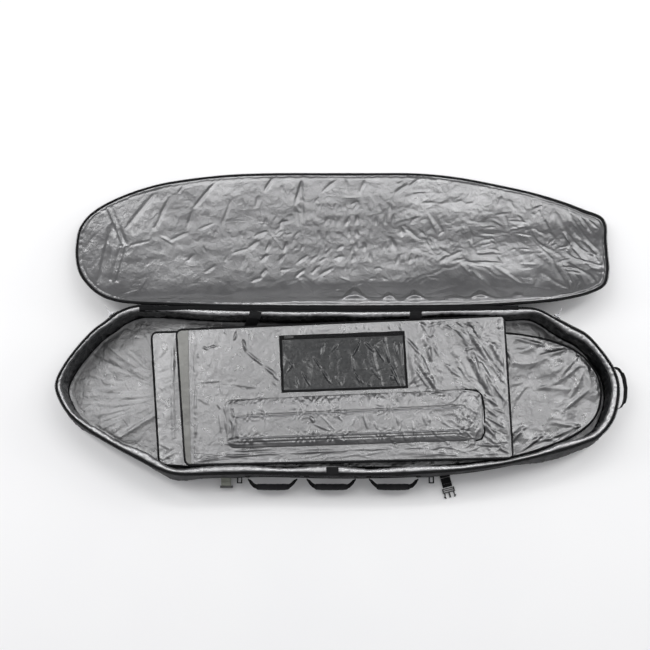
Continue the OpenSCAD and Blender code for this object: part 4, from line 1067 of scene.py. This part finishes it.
def inside(x, y, P):
    P = np.asarray(P, float)
    a, b = P, np.roll(P, -1, 0)
    r = np.zeros(x.shape, bool)
    for (x0, y0), (x1, y1) in zip(a, b):
        if y0 == y1:
            continue
        c = ((y0 > y) != (y1 > y)) & (x < (x1 - x0) * (y - y0) / (y1 - y0) + x0)
        r ^= c
    return r


def low_outline():
    C = cr_closed(LOW_CTL, 6)
    k1 = [np.array(v, float) for v in ((-708, 250), (-738, 248), (-735.5, 218))]
    k2 = [np.array(v, float) for v in ((-692.5, -246), (-690, -274), (-660, -276))]
    t = np.linspace(0, 1, 9)[:, None]
    bz = lambda k: k[0] * (1 - t) ** 2 + 2 * k[1] * t * (1 - t) + k[2] * t * t
    return np.vstack([bz(k1), bz(k2), C[12:-6]])


LOW = low_outline()
G = coons(resample(LOW, 1000) + inward(resample(LOW, 1000)) * 3, [(-688, -272), (940, -145), (955, 160), (-735, 246)],
          200 if Q else 320, 70 if Q else 110)
X, Y = G[..., 0], G[..., 1]
d = dist_to(X, Y, LOW)
LOWS = [(-648, 215, -646, 20, 6, 4.5, 0.4), (-650, 60, -630, -215, 6, 4.2, 0.4), (-700, 150, -668, 190, 9, 2.2), (-705, 90, -660, 110, 10, 1.6),
        (-690, 20, -655, 40, 9, 1.4), (-690, -190, -640, -215, 10, 3.0, 0.4), (-680, -255, -630, -225, 10, 3.6), (-660, -240, -640, -190, 8, 3.0),
        (650, -200, 730, -120, 14, 5, 0.4), (700, -225, 800, -150, 12, 5, 0.4), (760, -150, 860, -190, 12, 4.5, -0.4), (820, -110, 960, -130, 14, 4, 0.3),
        (640, 200, 700, 120, 12, 4, 0.3), (690, 225, 820, 190, 12, 4.5, 0.4), (780, 150, 900, 180, 12, 4, -0.4), (860, 60, 940, 150, 13, 4, 0.3),
        (660, -40, 780, 60, 18, 3, 0.3), (720, 30, 900, 20, 16, 2.6), (880, -60, 980, 20, 14, 3, 0.3), (650, 60, 700, 160, 14, 2.6), (900, -20, 960, 90, 12, 2.4)]
tl = sstep(600, 700, X)
fade = sstep(4, 22, d)
cor = np.exp(-(((X + 670) / 60) ** 2 + ((Y + 245) / 42) ** 2))
h = strokes(X, Y, LOWS) + 0.8 * waves(X, Y, 90, 101) + (0.6 + 1.6 * tl + 3.2 * cor) * crumple(X, Y, 103, 52) \
    + tl * (3.0 * (line_field(X, Y, 105, 70, math.radians(28), 2.2) - 0.5) + 3.2 * waves(X, Y, 120, 107))
zt = 85.2 + np.maximum(h, -3) * fade + 0.8 * sstep(5, 12, d) * (1 - sstep(12, 20, d)) * np.sin((X - Y) / 5.5)
zt = np.minimum(zt, 96)
o = pad("lower_divider_pad", G, zt, np.full(X.shape, 72.0), [M_SILVER_D, M_SILVER_D])
add(o, "lower_divider", "silver_lining", "lower_divider_foam", "lower_divider_cover")
P = resample(LOW, 560)
o = piping("lower_divider_bound_edge", flat3(P + inward(P) * 3.4, 78.8), 5.0, 8.6, M_BIND, p=3.2, ripple=0.03)
add(o, "lower_divider", "binding", "lower_divider_binding")

DC, DS = math.cos(math.radians(2.06)), math.sin(math.radians(2.06))


def at_div(V):
    V = np.asarray(V, float)
    return np.stack([6 + V[:, 0] * DC - V[:, 1] * DS, 269 + V[:, 0] * DS + V[:, 1] * DC, V[:, 2]], 1)


def div(o, slot, *nodes):
    return add(place(o, at_div), "upper_divider", slot, *nodes)


UPP = rounded([[-638, 0], [-607, -530], [639, -548], [645, 11]], 30)
U9 = resample(UPP, 1000)
G = coons(U9 + inward(U9) * 3, [(-605, -527), (636, -545), (642, 8), (-635, -3)], 160 if Q else 220, 70 if Q else 90)
X, Y = G[..., 0], G[..., 1]
d = dist_to(X, Y, UPP)
fade = sstep(4, 18, d)
h = 0.6 * waves(X, Y, 70, 111) + 0.9 * crumple(X, Y, 113, 40) + strokes(X, Y, [(-612, -120, -606, -300, 6, 2.0, 0.3), (-600, -400, -596, -505, 7, 3, 0.3),
                                                                    (-606, -440, -580, -470, 6, 3), (-628, -60, -600, -110, 7, 2)])
zt = 149.4 + np.clip(h, -1.5, 2.0) * fade * (1 - sstep(-592, -584, X))
o = pad("upper_divider_pad", G, zt, np.full(X.shape, 137.4), [M_HEM, M_SILVER_D])
div(o, "silver_lining", "upper_divider_foam", "upper_divider_cover")
P = resample(UPP, 480)
o = piping("upper_divider_bound_edge", flat3(P + inward(P) * 3.4, 144.2), 4.6, 7.6, M_BIND, p=3.0, ripple=0.04)
div(o, "binding", "upper_divider_binding")
o = stitches("upper_divider_stitching", flat3(P + inward(P) * 4.6, 151.9), M_THREAD)
div(o, "binding")

WX0, WX1, WY0, WY1 = -232, 253, -264, -40
BOX = rounded([[-452, -284], [-442, -470], [528, -474], [536, -274]], 34)
BTOP = rounded([[-418, -350], [-412, -440], [458, -438], [466, -340]], 20)


def panel_folds(x, y):
    h = 1.45 * (strokes(x, y, DIV_A) + strokes(x, y, DIV_B) + strokes(x, y, DIV_C)) + 1.3 * strokes(x, y, DIV_D)
    r = sstep(200, 380, x)
    lo = 1 - sstep(-500, -470, y)
    h += (0.45 + 1.9 * r) * crumple(x, y, 121, 44) + (0.5 + 0.5 * r) * waves(x, y, 120, 123)
    h += r * 3.4 * (line_field(x, y, 125, 74, math.radians(-56), 2.4) - 0.55)
    h += (1 - sstep(-500, -440, x)) * 0.8 * (line_field(x, y, 127, 20, math.radians(90), 4) - 0.55)
    h += lo * 2.4 * (line_field(x, y, 129, 16, 0.0, 6.0) - 0.5)
    h += 1.0 * sstep(-60, -20, y) * np.sin(x / 5.0 + 2.5 * waves(x, y, 50, 131)) * (0.4 + 0.6 * waves(x, 0 * y, 90, 132))
    return h


PANEL = rounded([[-588, -6.5], [-581, -523.5], [632.4, -541], [638, 3.8]], 10)
G = coons(PANEL, [(-581, -523), (632, -541), (638, 3.8), (-588, -6.5)], 260 if Q else 420, 120 if Q else 190)
X, Y = G[..., 0], G[..., 1]
d = dist_to(X, Y, PANEL)
inw = sstep(-14, 6, np.minimum.reduce([X - WX0, WX1 - X, Y - WY0, WY1 - Y]))
inb = inside(X, Y, BOX).astype(float) * sstep(0, 14, dist_to(X, Y, BOX))
h = panel_folds(X, Y) * sstep(2, 20, d) * (1 - inw) * (1 - inb)
hem = bell(X, -581, 5) * 1.6 - 1.4 * bell(X, -572, 3.0) + 0.9 * bell(X, -564, 4)
h = h + 2.0 * sstep(220, 360, X) * sstep(4, 24, d) * (1 - inb) * (1 - inw)
zt = 151.4 + np.clip(h, -1.2, 15) + hem * sstep(-20, 0, X + 590) + 0.5 * np.sin(Y / 4.0 + 2 * waves(X, Y, 40, 9)) * bell(X, -566, 9)
zb = zt - 1.0 - np.clip(h, 0, 9) * 0.3
zb = np.clip(zb, 150.3, None)
zt = np.maximum(zt, zb + 0.7)
o = pad("pocket_panel_sheet", G, zt, zb, [M_SILVER_D, M_SILVER_D])
div(o, "silver_lining", "pocket_panel")
panel = o

# raised storage pocket, its own panel on top, and its piped seams
G = coons(BOX, [(-442, -466), (526, -470), (533, -277), (-450, -286)], 240 if Q else 380, 60 if Q else 84)
X, Y = G[..., 0], G[..., 1]
d1, d2 = dist_to(X, Y, BOX), dist_to(X, Y, BTOP)
it = inside(X, Y, BTOP)
f = np.where(it, 1.0, d1 / np.maximum(d1 + d2, 1e-6))
rise = 14.2 * np.clip(f, 0, 1) ** 0.72
h = (strokes(X, Y, DIV_A) + strokes(X, Y, DIV_B) + strokes(X, Y, DIV_C)) * 0.9 + (0.6 + 1.8 * sstep(250, 420, X)) * crumple(X, Y, 141, 40) \
    + 0.5 * waves(X, Y, 60, 143)
seam = np.where(it, d2, d2)
puck = np.sin(X / 4.6 + 2.6 * waves(X, Y, 46, 147)) * (0.45 + 0.55 * waves(X, 0 * Y, 80, 148)).clip(0, 1)
h += -2.6 * bell(seam, 0, 4.0) + 1.8 * puck * bell(seam, 9, 8)
h += 1.8 * puck * bell(d1, 12, 9) * sstep(-330, -300, Y)
h += (-2.4 * bell(Y, -449 + 0.006 * X, 3.2) + 1.6 * puck * bell(Y, -446, 8)) * (X > -415) * (X < 430)
zt = 151.6 + rise + h * sstep(1, 14, d1)
zt = np.maximum(zt, 151.8)
o = pad("storage_pocket_gusset", G, np.minimum(zt, 176), np.full(X.shape, 150.9), [M_SILVER_D, M_SILVER_D])
div(o, "silver_lining", "storage_pocket")
pocket = o
FL = rounded([[-406, -358], [-401, -432], [446, -430], [453, -349]], 14)
G = coons(FL, [(-400, -431), (445, -429), (452, -350), (-405, -358)], 220 if Q else 340, 30 if Q else 40)
X, Y = G[..., 0], G[..., 1]
d = dist_to(X, Y, FL)
h = (strokes(X, Y, DIV_A) + strokes(X, Y, DIV_B)) * 0.9 + (0.5 + 1.6 * sstep(250, 420, X)) * crumple(X, Y, 141, 40) + 0.5 * waves(X, Y, 60, 143)
h += 1.5 * np.sin(X / 4.6 + 2.6 * waves(X, Y, 46, 147)) * (0.45 + 0.55 * waves(X, 0 * Y, 80, 148)).clip(0, 1) * bell(d, 7, 6)
zt = 167.0 + h * sstep(0, 10, d)
o = pad("storage_pocket_flap_sheet", G, zt, zt - 1.3, [M_SILVER_D, M_SILVER_D])
div(o, "silver_lining", "storage_pocket_flap")
for i, (pa, zz, r) in enumerate(((resample(rounded([[-404, -356], [-399, -434], [444, -432], [451, -347]], 14), 300), 166.2, 0.9),)):
    o = piping("pocket_seam_%d" % (i + 1), flat3(pa, zz), r, r, M_THREAD_S, ripple=0.2)
    div(o, "silver_lining")
sx = np.linspace(470, 536, 40)
arc = np.array([(470, -276), (515, -282), (533, -300), (539, -345), (538, -400), (534, -445), (522, -468), (500, -474)], float)
arc = resample(np.vstack([arc]), 60, False)
o = piping("pocket_end_piping", flat3(arc, 154.0), 3.0, 3.0, M_BIND, closed=False, ripple=0.15)
div(o, "binding")

# window pocket: bound frame, clear film, coil zip
def frame_piece(name, outer, inner, z0, z1, mats, n=90):
    """A flat bound frame between two four-cornered outlines, rolled at its edges."""
    def loop(c):
        c = np.array(c, float)
        return np.vstack([np.linspace(c[i], c[(i + 1) % 4], n, endpoint=False) for i in range(4)])
    A, B = loop(outer), loop(inner)
    k = np.arange(len(A))
    wob = 0.5 * waves(k * 3.0, 0.0 * k, 40, 151)[:, None]
    D = (B - A) / np.maximum(np.linalg.norm(B - A, axis=1, keepdims=True), 1e-9)
    A = A + D * wob
    secs = [(0.0, 0.0), (-0.02, 0.55), (0.08, 0.95), (0.3, 1.0), (0.5, 0.86), (0.7, 1.0), (0.92, 0.95), (1.02, 0.55), (1.0, 0.0)]
    V = np.stack([np.c_[A + (B - A) * a, np.full(len(A), z0 + (z1 - z0) * b)] for a, b in secs], 1).reshape(-1, 3)
    return build(name, V, grid_faces(len(A), len(secs), wrap_c=True, wrap_r=True), mats)


o = frame_piece("window_bound_frame", [(WX0, WY0), (WX1, WY0), (WX1 - 2, WY1), (WX0 - 4, WY1 - 1)],
                [(WX0 + 9, WY0 + 9), (WX1 - 9, WY0 + 9), (WX1 - 10, WY1 - 17), (WX0 + 7, WY1 - 18)], 151.2, 154.6, M_BIND)
div(o, "binding", "window_frame")
G = coons(resample([(WX0 + 6, WY0 + 6), (WX1 - 6, WY0 + 6), (WX1 - 7, WY1 - 13), (WX0 + 5, WY1 - 14)], 800),
          [(WX0 + 6, WY0 + 6), (WX1 - 6, WY0 + 6), (WX1 - 7, WY1 - 13), (WX0 + 5, WY1 - 14)], 150 if Q else 240, 70 if Q else 100)
X, Y = G[..., 0], G[..., 1]
d = np.minimum.reduce([X - WX0 - 5, WX1 - 7 - X, Y - WY0 - 6, WY1 - 14 - Y])
h = strokes(X, Y, FILM) * 1.3 + 0.5 * waves(X, Y, 60, 161) + 0.7 * crumple(X, Y, 163, 60)
h += 0.9 * (line_field(X, Y, 165, 46, math.radians(-62), 3.0) - 0.5) * sstep(-60, 60, X)
zt = 152.6 + np.clip(h, -0.8, 6) * sstep(3, 14, d)
o = pad("window_clear_film", G, zt, zt - 0.8, [M_FILM, M_FILM])
div(o, "film", "window_film")
zx = np.linspace(WX0 + 16, WX1 - 16, 60)
for i, yy in enumerate((WY1 - 7.8, WY1 - 10.2)):
    o = coil("window_zip_teeth_%d" % (i + 1), np.c_[zx, np.full(60, yy), np.full(60, 154.6)], 1.1, 2.2, 0.5, M_COIL)
    div(o, "coil", *(["window_zip"] if i == 0 else []))
for yy in (WY1 - 3.2, WY1 - 14.5):
    o = stitches("window_zip_stitching_%d" % int(-yy), np.c_[zx, np.full(60, yy), np.full(60, 154.7)], M_THREAD, closed=False)
    div(o, "coil")
t = np.linspace(0, 1, 14)[:, None]
P = np.array([-27, -542, 147.0]) + (np.array([-27, -559, 143.5]) - np.array([-27, -542, 147.0])) * t
o = ribbon("divider_tie_strip", P, 46, 2.0, M_WEB, side=(1, 0, 0))
div(o, "webbing", "divider_tie_tab")

# ---------------------------------------------------------------- carry loops

C40, S40 = math.cos(math.radians(40)), math.sin(math.radians(40))


def on_handle(c):
    def f(V):
        x, dd, z = -V[:, 0], -V[:, 1], V[:, 2]
        return np.stack([c + x, -327 + dd * C40 - z * S40, 95 + dd * S40 + z * C40], 1)
    return f


def round_path(P, r, n):
    P = [np.array(p, float) for p in P]
    out = [P[0]]
    for i in range(1, len(P) - 1):
        a = P[i] + (P[i - 1] - P[i]) / np.linalg.norm(P[i - 1] - P[i]) * r
        c = P[i] + (P[i + 1] - P[i]) / np.linalg.norm(P[i + 1] - P[i]) * r
        for t in np.linspace(0, 1, 7):
            out.append(a * (1 - t) ** 2 + 2 * P[i] * t * (1 - t) + c * t * t)
    out.append(P[-1])
    return resample(np.array(out), n, False)


for i, (nm, c, lean) in enumerate((("left", -250, 3), ("middle", -26, 0), ("right", 212, -3))):
    body = "handle_" + nm
    path = round_path([(-93.5, 1.2), (-68 + lean, 33.5), (-50, 36.5), (0, 38.2), (50, 36.5), (68 + lean, 33.5), (93.5, 1.2)], 9, 70)
    P = flat3(path, 0.0)
    w = 9 + 17 * sstep(2, 16, path[:, 1])
    T, S, U = frame_of(P, (0, 0, 1))
    o = sweep("carry_loop_" + nm, P, np.tile([0, 0, 1.0], (70, 1)) * (w / 2)[:, None], S * 1.15, STRAP, M_WEB)
    add(place(o, on_handle(c)), body, "webbing", body + "_loop")
    xs = np.linspace(-65, 65, 64)
    prof = np.clip(1 - np.abs(xs / 65) ** 7, 0, 1) ** 0.5
    rr = (5.0 + 6.4 * prof) * (1 + 0.02 * np.sin(xs / 4.0))
    ax = np.c_[xs, 36.4 + 1.8 * (1 - (xs / 65) ** 2), 0 * xs]
    T, S, U = frame_of(ax, (0, 0, 1))
    o = sweep("carry_grip_" + nm, ax, S * rr[:, None] * 0.96, U * rr[:, None] * 1.15, oval(26, 2.3), M_GRIP)
    add(place(o, on_handle(c)), body, "grip", body + "_grip")
    g = o
    seamp = np.c_[xs[3:-3], (ax[:, 1] + rr * 0.97)[3:-3], 0 * xs[3:-3]]
    o = stitches("carry_grip_seam_" + nm, seamp, M_THREAD_S, 4.5, 3.0, 0.5, 0.5, closed=False)
    add(place(o, on_handle(c)), body, "grip")
    for e in (-1, 1):
        k = np.abs(xs - e * 57).argmin()
        ring = oval(40, 2.3)
        P = np.c_[np.full(40, xs[k]), ax[k, 1] + ring[:, 0] * (rr[k] * 0.96 + 0.2), ring[:, 1] * (rr[k] * 1.15 + 0.2)]
        o = piping("carry_grip_hem_%s_%d" % (nm, 1 if e < 0 else 2), P, 0.9, 0.9, M_BIND, up=(1, 0, 0), ripple=0.05, k=8)
        add(place(o, on_handle(c)), body, "grip")
        # folded root where the loop meets the wall
    for e in (-1, 1):
        pts = np.array([(c + e * 93, -321, 95), (c + e * 95, -323.5, 95), (c + e * 98, -321, 95)], float)
        o = ribbon("carry_root_%s_%d" % (nm, 1 if e < 0 else 2), resample(np.array([(c + e * 86, -318.6, 95), (c + e * 93, -320.5, 95), (c + e * 104, -319.4, 95)], float), 12, False),
                   26, 2.2, M_WEB, side=(0, 0, 1))
        add(o, "tub", "webbing")

# tail handle
tp = np.array([(0, -81.5), (12, -81), (25, -74), (35, -59), (42, -38), (45.2, 0), (42, 38), (35, 59), (25, 74), (12, 81), (0, 81.5)], float)
P = resample(tp, 90, False)
T, S, U = frame_of(flat3(P, 0), (0, 0, 1))
w = 10 + 19 * sstep(4, 17, P[:, 0])
V3 = np.c_[P[:, 0] + 1066, P[:, 1] + 20, np.full(90, 112.0)]
o = sweep("tail_loop_webbing", V3, np.tile([0, 0, 1.0], (90, 1)) * (w / 2)[:, None], S * 1.5, STRAP, M_WEB)
add(o, "tail_handle", "webbing", "tail_handle_loop")
P = resample(np.array([(37.6, -59), (43.6, -37), (47.4, 0), (43.6, 37), (37.6, 59)], float), 50, False)
T, S, U = frame_of(flat3(P, 0), (0, 0, 1))
u = np.linspace(-1, 1, 50)
pr = np.clip(1 - np.abs(u) ** 9, 0, 1) ** 0.5
o = sweep("tail_handle_sleeve", np.c_[P[:, 0] + 1066, P[:, 1] + 20, np.full(50, 112.0)], np.tile([0, 0, 1.0], (50, 1)) * (17 * (0.8 + 0.2 * pr))[:, None],
          S * (4.6 * (0.7 + 0.3 * pr))[:, None], oval(20, 3.2), M_GRIP)
add(o, "tail_handle", "grip", "tail_handle_pad")
for z in (99.5, 124.5):
    o = stitches("tail_sleeve_stitching_%d" % int(z), np.c_[P[:, 0] + 1066 + 4.5, P[:, 1] + 20, np.full(50, z)][4:-4], M_THREAD_S, 4.5, 3.0, closed=False)
    add(o, "tail_handle", "grip")

# ---------------------------------------------------------------- straps

def at_strap(root, turn, hang):
    ct, st, ch, sh = (f(math.radians(a)) for a in (turn, hang) for f in (math.cos, math.sin))

    def f(V):
        x, y, z = V[:, 0], V[:, 1] * ch - V[:, 2] * sh, V[:, 1] * sh + V[:, 2] * ch
        return np.stack([root[0] + x * ct - y * st, root[1] + x * st + y * ct, root[2] + z], 1)
    return f


for nm, root, turn, hang, L, m, sl in (("left", (-431, -320.5, 62), 0, 30, 32, M_PALE, "pale_webbing"), ("right", (419, -317, 4.8), 14, 0, 36, M_WEB, "webbing")):
    y = np.linspace(0.5, -L, 16)
    o = ribbon("strap_%s_tail" % nm, np.c_[0 * y, y, 0 * y], 38, 2.0, m, side=(1, 0, 0))
    add(place(o, at_strap(root, turn, hang)), "strap_" + nm, sl, "strap_%s_webbing" % nm)
    y = np.linspace(-L + 16, -L, 10)
    o = ribbon("strap_%s_turn" % nm, np.c_[0 * y, y, 0 * y + 1.7], 37.6, 1.5, m, side=(1, 0, 0))
    add(place(o, at_strap(root, turn, hang)), "strap_" + nm, sl)
    xx = np.linspace(-15, 15, 12)
    o = stitches("strap_%s_tack" % nm, np.c_[xx, 0 * xx - L + 13, 0 * xx + 2.7], M_THREAD_S, 3.0, 2.2, closed=False)
    add(place(o, at_strap(root, turn, hang)), "strap_" + nm, sl)

xs = np.linspace(-42, 28, 30)
yy = np.interp(xs, *zip(*[(p[0], p[1]) for p in R[(R[:, 1] < -200)][np.argsort(R[(R[:, 1] < -200)][:, 0])].tolist()]))
P = np.c_[xs, yy - 4.2 + 0 * xs, np.full(30, 135.0)]
o = ribbon("blank_woven_patch", P, 14, 1.4, M_GRIP, side=(0, 0, 1))
add(o, "tub", "grip", "maker_patch")
for z in (129.6, 140.4):
    o = stitches("patch_stitching_%d" % int(z), np.c_[xs, yy - 5.0, np.full(30, z)], M_THREAD_S, 3.2, 2.2, 0.4, 0.3, closed=False)
    add(o, "tub", "grip")

# hard parts and small sewn pieces keep their CAD shape, with real finishes
for n, m in (("buckle_left", M_BUCKLE), ("buckle_right", M_BUCKLE), ("zip_slider_nose", M_METAL), ("zip_pull_nose", M_METAL), ("zip_slider_tail", M_METAL),
             ("zip_pull_tail", M_METAL), ("window_zip_slider", M_BUCKLE), ("window_zip_pull", M_BUCKLE), ("strap_anchors", M_WEB), ("tail_handle_anchor", M_WEB),
             ("accessory_loops", M_WEB)):
    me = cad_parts[n].data
    me.materials.clear()
    me.materials.append(m)

# ---------------------------------------------------------------- stage

fl = bpy.data.meshes.new("studio_floor")
fl.from_pydata([(-14, -14, -0.0006), (14, -14, -0.0006), (14, 14, -0.0006), (-14, 14, -0.0006)], [], [(0, 1, 2, 3)])
m, nt, b = new_mat("studio_floor_mat")
co = coords(nt)
nt.links.new(ramp(nt, noise(nt, co, 1.5, 2), [(0.3, (0.86, 0.86, 0.865)), (0.7, (0.88, 0.88, 0.88))]), b.inputs["Base Color"])
b.inputs["Roughness"].default_value = 0.9
b.inputs["Specular IOR Level"].default_value = 0.1
fl.materials.append(m)
floor = bpy.data.objects.new("studio_floor", fl)
bpy.context.scene.collection.objects.link(floor)

cam_d = bpy.data.cameras.new("camera")
cam_d.lens, cam_d.sensor_width = 57.33, 36
cam_d.clip_end = 100
cam = bpy.data.objects.new("camera", cam_d)
bpy.context.scene.collection.objects.link(cam)
cam.location = (-0.05, -0.5736, 4.0821)
cam.rotation_mode = "QUATERNION"
cam.rotation_quaternion = Vector((0, 0.2079, -0.978)).to_track_quat("-Z", "Y")
bpy.context.scene.camera = cam


def area(name, loc, target, sx, sy, power, col=(1, 1, 1)):
    ld = bpy.data.lights.new(name, "AREA")
    ld.shape = "RECTANGLE"
    ld.size, ld.size_y, ld.energy, ld.color = sx, sy, power, col
    o = bpy.data.objects.new(name, ld)
    bpy.context.scene.collection.objects.link(o)
    o.location = loc
    o.rotation_mode = "QUATERNION"
    o.rotation_quaternion = (Vector(target) - Vector(loc)).to_track_quat("-Z", "Y")
    return o


area("strip_left", (-2.7, 1.6, 5.3), (0, 0.2, 0), 0.7, 5.0, 95)
area("strip_right", (2.9, 1.8, 5.2), (0, 0.2, 0), 0.7, 5.0, 88)
area("strip_back", (0.1, 3.0, 5.2), (0, 0.2, 0), 4.6, 0.55, 58)
area("softbox_left", (-4.6, 0.4, 2.4), (0, 0.2, 0), 2.0, 2.0, 36)
area("softbox_right", (4.7, 1.2, 2.4), (0, 0.2, 0), 2.0, 2.0, 48)

w = bpy.data.worlds.new("studio")
bpy.context.scene.world = w
w.use_nodes = True
nt = w.node_tree
bg = nt.nodes["Background"]
tc = nt.nodes.new("ShaderNodeTexCoord")
sp = nt.nodes.new("ShaderNodeSeparateXYZ")
nt.links.new(tc.outputs["Generated"], sp.inputs[0])
nt.links.new(ramp(nt, sp.outputs["Z"], [(0.0, (0.46, 0.46, 0.47)), (0.3, (0.17, 0.17, 0.18)), (0.6, (0.22, 0.22, 0.23)), (0.8, (0.38, 0.38, 0.39)), (0.92, (0.62, 0.62, 0.63)), (1.0, (0.95, 0.95, 0.95))]), bg.inputs["Color"])
bg.inputs["Strength"].default_value = 1.0
bpy.context.scene.view_settings.view_transform = "Standard"
bpy.context.scene.view_settings.look = "None"
bpy.context.scene.view_settings.exposure = 0.14
